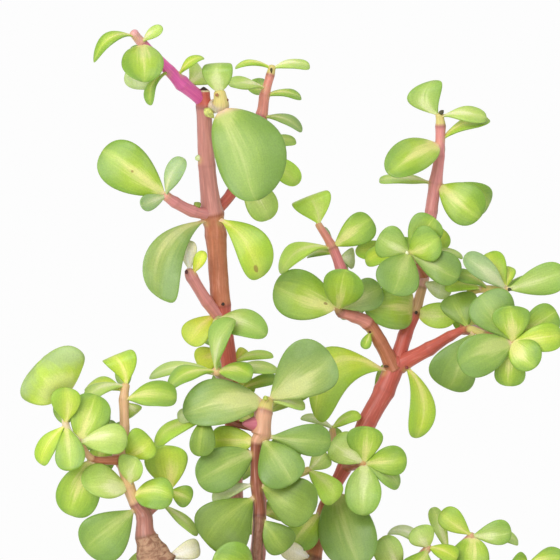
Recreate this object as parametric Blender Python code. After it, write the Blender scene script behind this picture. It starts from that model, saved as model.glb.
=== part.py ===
"""Potted elephant bush: a plain clay pot, potting mix, six rooted stems and their fleshy leaves.

Millimetres in the tables, metres in the scene.  +Z is up, the front is -Y, and the origin is the
middle of the pot's underside.  Plant places are measured from the tall stem's foot, on the soil.
"""
import math

import bmesh
import bpy
from mathutils import Matrix, Vector
from mathutils.bvhtree import BVHTree

# ---------------------------------------------------------------- driving sizes, millimetres
MM = 0.001
POT_HEIGHT = 92.0
POT_FOOT_RADIUS = 37.0
POT_BODY_RADIUS = 49.0          # just under the rim band
POT_RIM_RADIUS = 55.0
POT_RIM_BAND = 18.0             # height of the thick band round the mouth
POT_WALL = 4.0
POT_FLOOR = 6.0
POT_SIDES = 32
DRAIN_HOLES = 4
DRAIN_RADIUS = 4.0
DRAIN_CIRCLE = 20.0
SOIL_TOP = POT_HEIGHT - 10.0    # the watering space is 10 mm deep
SOIL_DOME = 2.0
SWAY_ACROSS, SWAY_UP = 20.0, 9.0
GAP = 0.3                       # clearance between pieces that touch
SEAT = GAP + 0.05               # how far off the bark the foot of a leaf that is its own piece sits
SINK = 0.6                      # how deep a joined leaf's foot runs into the bark
BLADE_FROM = 0.3                # a leaf's blade starts at this share of its length
PLANT_FOOT = Vector((-5.0, 0.0, SOIL_TOP))   # the tall stem's foot, from the pot's middle
LEAF_NODES = 50                 # the longest leaves are pieces of their own
TRUNK_SIDES, TWIG_SIDES = 8, 6
TUBE_STEP = 11.0                # rings of a stem lie about this far apart
LEAF_WEDGE, LEAF_ROUND = 0.85, 0.42     # how a leaf widens from its foot, and rounds off at its tip
SWING_STEP = math.radians(7.0)  # a crowded leaf turns aside by steps of this
SWING_STEPS = 9

# A leaf's facing is written in letters: Front, bacK, Up, Down, Left, Right.  Repeats weigh more.
FACING = {
    "F": Vector((0, -1, 0)), "K": Vector((0, 1, 0)), "U": Vector((0, 0, 1)),
    "D": Vector((0, 0, -1)), "L": Vector((-1, 0, 0)), "R": Vector((1, 0, 0)),
}

# ---------------------------------------------------------------- the plant, as a table of growth
# Each branch: its name, its joints from the base up as (x, y, z, radius), and its leaves as
# (joint, tip x, tip y, tip z, width, facing, arch, fold).  A joint of 2.5 is halfway from 2 to 3.
# Arch is the rise of the leaf's middle over its length; fold lifts its two sides into a trough.
STEMS = {
    "tall_centre_stem": [
        ("trunk", [(1, 7, -14, 3.6), (1, 7, 4, 3.6), (1, 6.5, 30, 3.2), (.5, 6.5, 58, 2.8),
                   (-.5, 7, 86, 2.4), (-1.5, 7, 111, 2.3), (-4, 6.5, 130, 2.8), (-5.5, 6, 150, 3),
                   (-6.5, 6, 156, 3.4), (-8, 6, 170, 2.5), (-8.8, 5, 186.5, 2.2),
                   (-8.8, 4.2, 190.3, 1.8)], [
            (8.1, -21.4, -4, 131.2, 12, "F", .12, .25),
            (8.15, 7.8, -1, 138.3, 10.8, "F", .12, .12),
            (5.95, -13.4, 0, 118.8, 8.8, "FFL", .1, .1),
            (5.3, -11, 10, 113.6, 7.5, "F", .05, .1),
            (5.1, 11, 9, 115.2, 5.5, "FUU", .1, .1),
            (5, 3.4, 10, 118, 3.6, "F", .05, .1),
            (9, -11, 4, 172.3, 1.8, "F", .05, .1),
            (8, -6, 21, 162, 9, "L", .1, .15),
            (9, -7.5, 18, 178, 7, "R", .1, .15),
            (4.7, 12.6, 1, 109.3, 4.8, "FU", .1, .1),
        ]),
        ("crown", [(-9, 6, 188.3, 1.8), (-15, 2, 193, 2.2), (-18.5, 1, 196.5, 1.7),
                   (-26, 1, 204, 1.4), (-28.4, 0, 206.8, 1.3)], [
            (3, -25.6, -12, 192.8, 12, "F", .08, .12),
            (3.6, -40, -4, 199.3, 4.6, "UF", .3, .2),
            (3.05, -20, -4, 208.4, 3.5, "FL", .1, .2),
            (3, -27, 4, 191, 9, "F", .05, .1),
            (2, -25.5, -3, 186.3, 5.5, "LLUF", .12, .2),
            (1.5, -9, 0, 200.7, 4.8, "ULF", .1, .2),
            (.8, -8.4, 9, 197, 9, "F", .08, .1),
            (3, -27, 13, 199, 7, "K", .1, .1),
        ]),
        ("pale_stub", [(-8, 6, 186.5, 1.3), (-5.8, 2, 186.6, 1.9), (-4, -2.5, 187, 2.4),
                       (-4.2, -3, 190, 1.7)], [
            (2.2, 6.5, -11, 159.7, 20.3, "F", .05, .12),
            (3, -4.8, -6, 200, 8.8, "F", .05, .15),
        ]),
        ("top_right", [(-6.5, 6, 156, 1.9), (-1, 9, 162, 1.6), (4, 11, 174, 1.7),
                       (7.5, 12, 184, 1.75), (8.5, 12, 190, 1.5), (10.1, 12, 195.8, 1.3),
                       (10.6, 12, 198, 1.1)], [
            (5.8, 0, 12, 198.3, 5, "UUUF", .12, .1),
            (5.8, 21.5, 13, 198, 6.5, "UUF", .1, .1),
            (4.3, -1.8, 8, 192.6, 9, "UUF", .1, .1),
            (4, 19, 14, 189.3, 6, "UUF", .1, .1),
            (3, 19.5, 10, 180.5, 6, "UUF", .12, .1),
            (2, 18.2, 8, 164.3, 7.5, "FR", .1, .1),
            (2, 17.5, 14, 177, 5, "FU", .1, .1),
            (1.5, 9.8, 5, 154.8, 9.2, "F", .1, .1),
            (3, 3, 27, 181, 9, "KU", .1, .1),
            (2, 10, 27, 170, 9, "KR", .1, .1),
            (4.4, 4, 26, 193, 5, "K", .1, .1),
        ]),
        ("mid_left", [(-6.5, 6, 155.8, 1.9), (-12, 4, 156.7, 1.7), (-17, 2, 159.2, 1.6),
                      (-19.5, 1, 161, 1.4)], [
            (3, -37.5, -2, 173.8, 14, "F", .06, .08),
            (3, -14.4, -3, 171.6, 7, "FL", .1, .2),
            (3, -26.9, -6, 158, 4.8, "F", .03, .15),
            (.4, -7.8, 22, 167, 4, "K", .1, .1),
        ]),
        ("low_left_stub", [(-4, 6.5, 126, 1.9), (-8, 5, 131, 1.8), (-12.3, 3, 138, 1.75),
                           (-12.8, 3, 139.4, 1.4)], [
            (3, -13.2, 1, 148.2, 5, "F", .05, .1),
            (2, -8.7, 1, 145.5, 3.6, "F", .05, .1),
            (.5, -4.6, 18, 138, 4.4, "K", .1, .1),
        ]),
        ("middle_stub", [(-3.5, 6.5, 126, 1.6), (-4.6, 3.5, 125.4, 1.3), (-5.4, 1, 125, 1)], [
            (2, 8.9, -7, 122.3, 10.8, "FU", .12, .05),
        ]),
        ("viewer_shoot", [(-1.5, 7, 109, 1.7), (-4, 0, 110, 1.6), (-5.2, -5, 111, 1.4)], [
            (2, -.8, -9, 126.5, 11.4, "LLF", .08, .35),
            (2, -19.5, -8, 107.2, 9.5, "FUU", .1, .15),
            (2, 5, -8, 109.2, 8.6, "FU", .12, .1),
            (1, -24.5, 4, 109.5, 9, "FUU", .12, .1),
            (1, 12.5, -1, 111, 7, "FUU", .1, .15),
        ]),
        ("rear_shoot", [(-1.5, 7, 111, 1.5), (-3, 16, 114, 1.3), (-4, 23, 118, 1.1)], [
            (2, -10, 31, 122, 9, "KL", .1, .1),
            (2, -2, 32, 107, 5, "K", .1, .1),
            (2, -2, 35, 112, 8, "KD", .1, .1),
            (1, -5, 26, 102, 5, "UK", .1, .1),
            (1, 4, 24, 103, 7, "UK", .1, .1),
        ]),
        ("foot_leaves", [(1.6, 6, 26, 1.4), (-5, 9, 33, 1.3), (-12, 14, 42, 1.1)], [
            (2, -24, 14, 48, 10, "FU", .1, .1),
            (2, -12, 28, 48, 10, "KU", .1, .1),
            (2, -16, 8, 54, 9, "F", .1, .1),
            (1, -8, 22, 30, 9, "KU", .1, .1),
        ]),
    ],
    "front_stem": [
        ("front", [(7, -10, -14, 2.7), (7, -10, 3, 2.7), (6.5, -11, 25, 2.4), (6, -12, 48, 2),
                   (6.2, -12.5, 57, 1.7), (7, -13, 70, 1.8), (6.3, -13, 79, 1.9),
                   (6.1, -13.5, 90, 1.5), (7.5, -14, 93, 2.9), (8.2, -14, 99.5, 2.7),
                   (9.5, -13, 102.5, 1.6)], [
            (10, -14.4, -21, 100, 14.8, "FFU", .1, .08),
            (10, 27.3, -19, 116.2, 17, "F", .05, .1),
            (10, 20, -11, 100.5, 7, "FUU", .08, .1),
            (10, 1, -4, 103.5, 6, "DF", .1, .1),
            (8, 16.2, -22, 79, 13.5, "F", .1, .05),
            (7.9, 27.4, -15, 91, 9.4, "F", .1, .1),
            (7.2, -7, -9, 91.6, 9, "F", .1, .1),
            (6.8, -10.7, -17, 79.4, 12.4, "F", .08, .12),
            (6, 22.3, -19, 71, 14.3, "F", .1, .05),
            (5.7, -7.6, -18, 61.8, 17.4, "F", .06, .1),
            (6, -6.6, -11, 74.6, 6.5, "FU", .08, .1),
            (3.3, -5, -24, 58.6, 14, "F", .08, .1),
            (5, 15, -13, 60, 9.5, "F", .08, .1),
            (3.2, 14, -26, 47, 11, "F", .1, .1),
            (2.6, -6, -24, 40, 12, "F", .1, .1),
            (2, 18, -22, 30, 11, "FU", .1, .1),
            (2, -3, -26, 26, 9, "FU", .1, .1),
        ]),
        ("pruned_stub", [(7.2, -12.6, 96, 3), (2.6, -13.2, 96.2, .6)], []),
        ("front_left", [(7.3, -13.5, 94.5, 1.2), (2, -9, 95.6, 1), (-6, -7, 98, 1),
                        (-8.5, -7, 98.6, 1)], [
            (3, -9.8, -12, 87.2, 7.4, "F", .1, .1),
            (2, -24, -3, 90.2, 7, "FU", .1, .1),
            (3, -15.6, -3, 98.2, 4.4, "F", .05, .1),
        ]),
        ("front_right", [(6.3, -13, 78, 1.4), (14, -8, 80, 1.3), (21, -8, 82.5, 1.1)], [
            (2, 28.5, -12, 73.5, 10.5, "FR", .05, .3),
            (2, 26.5, -7, 87.5, 6.5, "F", .1, .1),
            (1, 14, 4, 86, 8, "KU", .1, .1),
        ]),
    ],
    "right_stem": [
        ("right", [(12, 1.5, -14, 3.5), (12.5, 1.5, 3, 3.4), (15.5, 1.5, 28, 3),
                   (22.3, 0, 57, 2.5), (26, -1, 72, 1.9), (31.5, -1, 83, 2.2), (38, 0, 96, 2.8),
                   (43, 1, 105, 3), (46.4, 2, 113.3, 3.2)], [
            (8, 22.4, -8, 96.8, 14, "F", .05, .15),
            (7.2, 36, 16, 92, 4, "K", .1, .1),
            (4.5, 35.6, -12, 54.5, 16.4, "F", .06, .1),
            (4, 17.2, -8, 60.6, 9.5, "F", .1, .15),
            (3, 12.6, -9, 60.8, 5.6, "F", .05, .1),
            (6, 42, 16, 107, 4, "K", .1, .1),
            (2.4, 24, -10, 46, 10, "F", .1, .1),
            (2, 22, 12, 34, 10, "KR", .1, .1),
        ]),
        ("right_left_arm", [(45.5, 1.5, 112, 2.4), (41.8, -1, 119.3, 2), (38.3, -2, 124.6, 2.1),
                            (34, -3, 126.6, 1.7), (30.4, -4, 127.6, 1.3), (29.4, -4, 129, 1.1)], [
            (5, 11.4, -8, 135.6, 14.5, "F", .06, .1),
            (5, 32, -16, 140.3, 12, "F", .1, .1),
            (5, 42, -1, 134.8, 9.5, "F", .1, .1),
            (1.7, 36.9, -5.5, 117.2, 3.2, "F", .2, .2),
            (3, 33, 10, 130, 8, "K", .1, .1),
        ]),
        ("right_left_top", [(34, -2, 127.5, 1.5), (32, -1, 134, 1.6), (30.5, 0, 140, 1.65),
                            (28, 2, 146.5, 1.4), (24, 3, 153, 1)], [
            (4, 20.4, 1, 162.4, 11.5, "F", .05, .15),
            (3, 39.5, 1, 154.5, 9.2, "F", .1, .1),
            (3, 12.5, -1, 140, 10, "FUU", .2, .1),
            (2.5, 34, 7, 143.6, 6.2, "F", .1, .1),
            (2.7, 21.5, 8, 144, 5, "FU", .1, .1),
            (3, 28, 17, 150, 8, "KL", .1, .1),
            (2, 31, 14, 138, 8, "KR", .1, .1),
        ]),
        ("right_middle_arm", [(46.5, 2, 112.5, 2.5), (49, 4, 121, 2.1), (51.8, 5, 127.5, 1.8),
                              (54, 6, 135, 1.3), (55.2, 6.5, 141, 1.5), (56.6, 7, 157, 1.9),
                              (57.8, 8, 165, 2), (58.9, 9, 173, 1.5), (59.2, 9, 181.5, 1.5),
                              (58.9, 9, 184.5, 1.2)], [
            (9, 57.3, 7, 195.2, 10, "F", .05, .15),
            (8.85, 72.5, 8, 183.4, 6.8, "FU", .12, .1),
            (7.5, 73.5, 11, 183, 8, "UUF", .1, .1),
            (7.4, 44, -4, 167.4, 11.6, "FFU", .08, .08),
            (6, 41.5, 9, 165.4, 7, "UUF", .08, .1),
            (6, 70.5, 3, 155.3, 12.2, "F", .1, .05),
            (6, 74.6, 15, 158.6, 9.4, "F", .1, .1),
            (2.2, 39.5, -8, 129.5, 13.4, "F", .1, .05),
            (2, 64, 3, 126.8, 7.6, "F", .1, .1),
            (3.3, 61.8, 2, 133, 5, "F", .1, .1),
            (7.6, 58.8, 22, 172, 3.6, "K", .1, .1),
            (5.1, 56, 24, 149, 3.6, "K", .1, .1),
            (4.6, 56, 22, 143, 8, "K", .1, .1),
        ]),
        ("middle_rosette", [(54.6, 6.5, 139, 1.5), (52.2, 1, 143, 1.4), (50, -5, 145, 1.3)], [
            (2, 45, -14, 133.3, 13, "F", .1, .05),
            (2, 57.2, -8, 155.2, 10.2, "F", .08, .1),
            (2, 59.4, -9, 149.8, 10.8, "F", .1, .1),
            (2, 41.2, -8, 149.8, 10, "F", .1, .1),
            (2, 64.5, -9, 138, 9.5, "F", .1, .1),
            (2, 38, -9, 142.5, 8, "FU", .1, .1),
            (1, 65.5, -2, 144.8, 5, "UUF", .1, .1),
            (1, 61, 1, 151.5, 8, "F", .1, .1),
            (1, 34.5, -1, 145, 7.5, "FU", .1, .1),
        ]),
        ("middle_rear", [(53.7, 6, 136, 1.4), (54, 14, 139, 1.3), (55, 22, 142, 1.1)], [
            (2, 56, 30, 153, 9, "K", .1, .1),
            (2, 62, 30, 144, 9, "K", .1, .1),
            (2, 50, 32, 136, 9, "K", .1, .1),
            (2, 46, 26, 147, 9, "K", .1, .1),
        ]),
        ("right_right_arm", [(47.5, 1.8, 112.8, 2.3), (56, -2, 117.3, 2), (62, -4, 121, 1.5),
                             (67, -6, 123, 1.1), (72, -9, 121.4, 1), (79.5, -13, 119.3, .9)], [
            (5, 64, -17, 112.5, 12, "F", .1, .08),
            (5, 78.5, -18, 130, 11, "F", .08, .1),
            (5, 70.5, -14, 133, 13.5, "F", .08, .1),
            (5, 94, -15, 121.2, 8.4, "F", .1, .1),
            (5, 86.2, -17, 112.2, 9.6, "F", .1, .1),
            (5, 92, -9, 128, 9.5, "F", .1, .1),
            (5, 78.5, -12, 106.5, 9, "F", .1, .1),
            (3.4, 60.3, -7, 105.8, 14, "F", .1, .08),
            (3, 63.4, -2, 133, 11, "F", .1, .1),
            (.25, 51.9, -5, 91.5, 8.8, "FFR", .12, .12),
        ]),
        ("right_upper_twig", [(66, -5.6, 122.4, 1.2), (66, 1, 128, 1.2), (68, 3, 133.5, 1.2),
                              (73, 2, 134.5, 1.1), (78, 0, 134.3, 1)], [
            (4, 65.5, -4, 144, 7.2, "FFU", .1, .1),
            (4, 95, -5, 139.2, 9.3, "F", .1, .1),
            (4, 73, 6, 145, 7, "F", .1, .1),
            (3.9, 78.3, 2, 141.5, 5.5, "F", .1, .1),
            (3, 62.5, -2, 138.5, 5.5, "FU", .1, .1),
            (3, 60.5, 5, 135, 5.5, "FU", .1, .1),
            (4, 84, 14, 136, 8, "KU", .1, .1),
        ]),
        ("right_rear", [(67, -6, 122.8, 1.2), (69, 3, 123, 1.2), (73, 12, 122, 1.1)], [
            (2, 64, 20, 128, 9, "K", .1, .1),
            (2, 81, 20, 128, 9, "K", .1, .1),
            (2, 74, 20, 112, 9, "K", .1, .1),
            (2, 87, 16, 120, 9, "KR", .1, .1),
        ]),
        ("low_rosette", [(31.5, -1, 83, 1.7), (34, -6, 84, 1.6), (37, -13, 84.3, 1.4)], [
            (2, 36.5, -20, 70, 10.6, "F", .1, .05),
            (2, 37.5, -17, 95.4, 10.5, "F", .05, .15),
            (2, 28.3, -17, 90.8, 10, "F", .1, .05),
            (2, 49.2, -16, 85.7, 8.8, "F", .08, .15),
            (2, 47, -12, 77.5, 7.5, "FU", .15, .1),
        ]),
        ("right_back_twig", [(31.5, -1, 83, 1.1), (29, 1, 88, 1), (28, 1, 94.3, .9)], [
            (2, 19, 0, 97.8, 5.5, "UUF", .08, .1),
            (2, 36, 0, 98.5, 4.8, "FU", .1, .1),
            (1, 30, 14, 92, 7, "KL", .1, .1),
        ]),
    ],
    "low_right_stem": [
        ("low_right", [(19, 10, -14, 2.7), (19.5, 10, 3, 2.7), (27, 8, 20, 2.3), (38, 3, 38, 1.9),
                       (48, 0, 51, 1.6), (55.8, -1, 59.8, 1.2)], [
            (5, 44.5, 0, 65.6, 7.4, "UUF", .1, .1),
            (5, 52.6, -5, 66, 8, "F", .1, .1),
            (5, 64, -4, 56.8, 7, "FU", .1, .1),
            (5, 50, -9, 50, 10, "F", .1, .1),
            (4, 42.5, -7, 62.5, 8.6, "F", .1, .1),
            (4, 60, -6, 49, 10, "FU", .1, .1),
            (3, 36, -8, 46, 10, "F", .1, .1),
            (3, 32, 14, 48, 10, "K", .1, .1),
            (2, 30, -6, 22, 9, "FU", .1, .1),
        ]),
        ("low_right_tip", [(38, 3, 38, 1.6), (52, 7, 48, 1.5), (62, 8, 57, 1.4),
                           (68.5, 8, 63, 1.2)], [
            (3, 59.5, 6, 70, 7, "F", .1, .1),
            (3, 79.8, 6, 64.6, 7.4, "F", .1, .1),
            (3, 82.3, 12, 61.6, 6, "UF", .1, .1),
            (3, 68, 2, 51.5, 11, "F", .1, .1),
            (2, 57, 12, 71.5, 4.5, "F", .1, .1),
            (2, 62, 22, 56, 6, "K", .1, .1),
        ]),
        ("low_right_end", [(46, 5, 43.5, 1.5), (62, 13, 48, 1.3), (76, 15, 51, 1.2),
                           (84, 14, 54, 1)], [
            (3, 80, 8, 55.2, 8, "F", .1, .1),
            (3, 95, 10, 57, 8, "FU", .1, .1),
            (3, 92, 18, 50, 8, "FU", .1, .1),
            (2, 74, 28, 52, 9, "KU", .1, .1),
            (2, 76, 6, 42, 9, "FU", .1, .1),
            (1, 58, 24, 44, 9, "KU", .1, .1),
        ]),
    ],
    "left_stem": [
        ("left", [(-6, -2, -14, 4.7), (-7, -2, 3, 4.6), (-13, -3, 28, 4.4), (-22.6, -4, 57, 4.7),
                  (-25.3, -4, 64.3, 3), (-25.8, -4, 70, 2.4), (-28, -4, 73.5, 1.9),
                  (-30, -4, 78, 1.7), (-32, -4, 86, 1.9)], [
            (5.8, -42, -9, 60, 14.5, "F", .06, .1),
            (7, -42.7, -14, 79.5, 11.5, "FFU", .08, .1),
            (8, -24, -5, 92.5, 10, "F", .1, .1),
            (6.6, -18, -11, 76, 10.5, "FFU", .1, .05),
            (7, -27.8, -10, 87, 9.2, "FFL", .08, .3),
            (3, -9.4, 3, 61.3, 5.8, "F", .05, .1),
            (2.4, -30, -14, 50, 12, "FU", .1, .1),
            (2, -28, 6, 36, 11, "LU", .1, .1),
            (1.7, -14, -22, 30, 11, "FU", .1, .1),
        ]),
        ("left_up", [(-32, -4, 86, 1.7), (-31.5, -3, 90, 1.5), (-31.3, -2, 95, 1.4),
                     (-31.5, -1, 103, 1.4), (-31, 0, 107, 1.2)], [
            (4, -35.2, -2, 117.4, 9.2, "F", .05, .15),
            (4, -42.5, -4, 103.5, 7, "FUU", .1, .1),
            (3, -16.5, -4, 104, 11.5, "FU", .1, .1),
            (3.5, -42.5, 6, 107, 6.5, "FU", .1, .1),
            (3, -28.2, 3, 98.6, 5.5, "F", .1, .1),
            (1.5, -38, 16, 92.5, 8, "K", .1, .1),
            (4, -32, 18, 114, 5, "K", .1, .1),
        ]),
        ("left_out", [(-32, -4, 86, 1.6), (-40, -7, 86.3, 1), (-44, -8, 91, 1), (-47.8, -8, 96, 1),
                      (-47.6, -5, 105.2, .9)], [
            (4, -54.8, -13, 113.4, 21.4, "F", .05, .12),
            (3, -48, -12, 106.5, 8.6, "F", .05, .15),
            (2, -30.5, -12, 92, 10, "FFU", .08, .1),
            (2, -39.2, -5, 104.4, 11.4, "F", .05, .1),
            (3, -46.2, -14, 83.2, 8.6, "F", .06, .12),
            (1, -46.5, -3, 70.3, 12.5, "F", .06, .1),
            (3, -54.9, -8, 84.8, 8, "FL", .1, .2),
            (3, -49.6, 5, 103.5, 6, "K", .1, .1),
        ]),
        ("left_rear", [(-32, -4, 85, 1.4), (-35, 5, 90, 1.3), (-37, 12, 94, 1.1)], [
            (2, -42, 20, 100, 9, "K", .1, .1),
            (2, -39, 18, 81.5, 8, "K", .1, .1),
            (2, -27.5, 18, 89.5, 7, "K", .1, .1),
            (2, -45, 18, 92, 9, "K", .1, .1),
        ]),
        ("left_side_twig", [(-20, -3, 46, 1.8), (-24.5, 3.5, 62, 1.4), (-25.5, 3.5, 69, 1.3),
                            (-21.5, 3.5, 73.6, 1.2), (-18.5, 3, 77, 1.2)], [
            (4, -20, 0, 90.7, 12.5, "F", .05, .1),
            (4, -12.3, 2, 74.3, 6.5, "F", .1, .1),
            (3, -10.5, 1, 64.5, 5.5, "RUF", .05, .1),
            (3, -24, 18, 78, 9, "K", .1, .1),
            (1, -30, 16, 50, 7, "K", .1, .1),
        ]),
        ("left_foot", [(-10, -3, 20, 1.5), (-21, -10, 30, 1.4), (-31, -14, 38, 1.1)], [
            (2, -44, -20, 45, 11, "FU", .1, .1),
            (2, -30, -26, 46, 10, "FU", .1, .1),
            (2, -38, -4, 46, 10, "U", .1, .1),
            (1, -24, -22, 28, 9, "FU", .1, .1),
        ]),
    ],
    "back_stem": [
        ("back", [(1, 19, -14, 3.1), (1, 19, 3, 3), (4, 22, 30, 2.6), (6.5, 24, 58, 2.2),
                  (7.5, 25, 84, 1.8), (8, 26, 98, 1.3)], [
            (3.4, 20, 34, 74, 11, "K", .1, .1),
            (3.4, 1, 35, 68, 11, "K", .1, .1),
            (4, 18, 37, 89, 10, "K", .1, .1),
            (4, -3, 34, 84, 11, "K", .1, .1),
            (5, 26, 35, 111, 8, "K", .1, .1),
            (4.6, -4, 34, 102, 9, "K", .1, .1),
            (5, 20, 34, 114, 8, "K", .1, .1),
            (5, 0, 28, 103, 7, "KU", .1, .1),
            (2.4, -10, 32, 46, 11, "K", .1, .1),
            (2.4, 18, 36, 46, 11, "K", .1, .1),
            (2, 10, 40, 36, 10, "KU", .1, .1),
            (1.6, -6, 34, 26, 10, "KU", .1, .1),
        ]),
    ],
}


# ---------------------------------------------------------------- small geometry helpers
def sway(x, z):
    """How far the crown stands behind the table's y at this place: left parts come forward,
    right parts go back, and the tall stem bows, so that the plant is not a flat fan."""
    risen = min(max(z / 40, 0), 1)
    return risen * (SWAY_ACROSS * math.sin((x - 5) / 30) + SWAY_UP * math.sin(z / 50))


def plant_point(x, y, z, at=None):
    """A place on the plant in metres, from millimetres at the tall stem's foot."""
    x_at, z_at = at or (x, z)
    return (PLANT_FOOT + Vector((x, y + sway(x_at, z_at), z))) * MM


def smooth_point(points, place):
    """The point at `place` joints along the smooth curve through `points`."""
    first = min(int(place), len(points) - 2)
    t = place - first
    before = points[max(first - 1, 0)]
    start, end = points[first], points[first + 1]
    after = points[min(first + 2, len(points) - 1)]
    tangent_in = (end - before) / 2
    tangent_out = (after - start) / 2
    return (start * (2 * t**3 - 3 * t**2 + 1) + tangent_in * (t**3 - 2 * t**2 + t)
            + end * (3 * t**2 - 2 * t**3) + tangent_out * (t**3 - t**2))


def mesh_object(name, verts, faces):
    mesh = bpy.data.meshes.new(name)
    mesh.from_pydata([tuple(v) for v in verts], [], faces)
    body = bpy.data.objects.new(name, mesh)
    bpy.context.collection.objects.link(body)
    return body


def loft(rings, start, end):
    """Closed mesh over equal rings of points, drawn together to a point at both ends."""
    sides = len(rings[0])
    verts = [start] + [point for ring in rings for point in ring] + [end]
    faces = []
    for i in range(sides):
        j = (i + 1) % sides
        faces.append((0, 1 + j, 1 + i))
        for k in range(len(rings) - 1):
            low, high = 1 + k * sides, 1 + (k + 1) * sides
            faces.append((low + i, low + j, high + j, high + i))
        last = 1 + (len(rings) - 1) * sides
        faces.append((last + i, last + j, len(verts) - 1))
    return verts, faces


def tube(joints, extra=0.0):
    """A stem's bark: a smooth tapering tube, a little waisted between its joints."""
    sides = TRUNK_SIDES if joints[0][3] > 2 else TWIG_SIDES
    points = [plant_point(*joint[:3]) for joint in joints]
    radii = [(joint[3] + extra) * MM for joint in joints]
    places = []
    for i in range(len(points) - 1):
        pieces = max(1, round((points[i + 1] - points[i]).length / (TUBE_STEP * MM)))
        places += [i + k / pieces for k in range(pieces)]
    places.append(len(points) - 1)
    centres = [smooth_point(points, place) for place in places]
    rings = []
    across = None
    for i, place in enumerate(places):
        along = (centres[min(i + 1, len(centres) - 1)] - centres[max(i - 1, 0)]).normalized()
        across = (across or along.orthogonal())
        across = (across - along * across.dot(along)).normalized()
        other = along.cross(across)
        first = min(int(place), len(radii) - 2)
        share = place - first
        radius = radii[first] * (1 - share) + radii[first + 1] * share
        radius *= 1 - 0.08 * math.sin(math.pi * share)
        turns = [2 * math.pi * k / sides for k in range(sides)]
        rings.append([centres[i] + (across * math.cos(a) + other * math.sin(a)) * radius
                      for a in turns])
    end = centres[-1] + along * radii[-1] * 0.8
    start = centres[0] - (centres[1] - centres[0]).normalized() * radii[0] * 0.1
    return loft(rings, start, end)


def half_width(u):
    """Half width of an elephant-bush leaf at `u` of its length, 1 at its widest: an inverted egg."""
    widest = LEAF_WEDGE / (LEAF_WEDGE + LEAF_ROUND)
    most = widest ** LEAF_WEDGE * (1 - widest) ** LEAF_ROUND
    return u ** LEAF_WEDGE * (1 - u) ** LEAF_ROUND / most


def leaf_shape(base, tip, width, face, arch, fold, rings=4, across=(0.5,), grow=0.0):
    """A fleshy leaf: an egg-shaped lens from `base` to `tip`, arched and folded towards `face`."""
    axis = tip - base
    length = axis.length
    axis.normalize()
    normal = (face - axis * face.dot(axis)).normalized()
    side = axis.cross(normal)
    thick = (0.45 + 0.055 * width / MM) * MM + grow
    upper = sorted({-v for v in across} | set(across))
    section = [(-1.0, 0.0)] + [(v, 1.0) for v in upper] + [(1.0, 0.0)]
    section += [(v, -1.0) for v in reversed(upper)]
    loops = []
    for k in range(rings):
        u = 0.5 - 0.5 * math.cos(math.pi * (k + 0.75) / (rings + 0.4))
        half = half_width(u) * width / 2 + grow
        deep = thick * (0.55 + 0.45 * math.sin(math.pi * min(u * 1.15, 1.0)))
        middle = base + axis * length * u + normal * arch * length * 4 * u * (1 - u)
        loop = [middle + side * half * v + normal * (half * fold * abs(v)
                + sign * deep * math.sqrt(1 - v * v)) for v, sign in section]
        loops.append(loop)
    return loft(loops, base, tip + axis * grow)


# ---------------------------------------------------------------- growing the plant
class Leaf:
    """One leaf of the table: where it grows from, where it points and how it faces."""

    def __init__(self, stem, branch, number, joints, row):
        self.name = f"leaf_{branch}_{number}"
        self.stem = stem
        points = [plant_point(*joint[:3]) for joint in joints]
        self.joint = smooth_point(points, row[0])
        foot = joints[int(row[0])]
        self.tip = plant_point(*row[1:4], at=(foot[0], foot[2]))
        self.width = row[4] * MM
        self.face = sum((FACING[letter] for letter in row[5]), Vector()).normalized()
        self.arch, self.fold = row[6:8]
        self.length = (self.tip - self.joint).length
        self.own_piece = False

    def swing(self, angle, bark):
        """Turn about the joint, into the depth of the plant, and seat the base on the bark."""
        reach = self.tip - self.joint
        hinge = reach.cross(Vector((0, 1, 0))).normalized()
        turn = Matrix.Rotation(angle, 3, hinge)
        tip = self.joint + turn @ reach
        inward = (self.joint - tip).normalized()
        hit = bark.ray_cast(tip, inward)[0]
        base = self.joint if hit is None else hit
        if self.own_piece:
            base = base - inward * SEAT * MM
        else:
            base = base + inward * SINK * MM
        return base, tip, turn @ self.face

    def shape(self, pose, grow=0.0):
        base, tip, face = pose
        rings, across = (4, (0.5,)) if self.own_piece else (3, (0.0,))
        return leaf_shape(base, tip, self.width, face, self.arch, self.fold, rings, across, grow)


def tree_of(shape):
    return BVHTree.FromPolygons([tuple(v) for v in shape[0]], shape[1])


def touches(leaf, pose, placed, barks):
    """Whether a leaf so posed comes within the gap of another piece or a leaf grown earlier."""
    whole = tree_of(leaf.shape(pose, grow=GAP * MM))
    for stem, bark in barks.items():
        if (stem != leaf.stem or leaf.own_piece) and whole.overlap(bark):
            return True
    blade = whole
    if not leaf.own_piece:      # leaves joined to one stem may share its joint, but not their blades
        blade_pose = (pose[0].lerp(pose[1], BLADE_FROM), *pose[1:])
        blade = tree_of(leaf.shape(blade_pose, grow=GAP * MM))
    middle = (pose[0] + pose[1]) / 2
    for other, centre, tree in placed:
        if (centre - middle).length > 0.8 * (leaf.length + other.length):
            continue
        same_body = other.stem == leaf.stem and not (other.own_piece or leaf.own_piece)
        if (blade if same_body else whole).overlap(tree):
            return True
    return False


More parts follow.
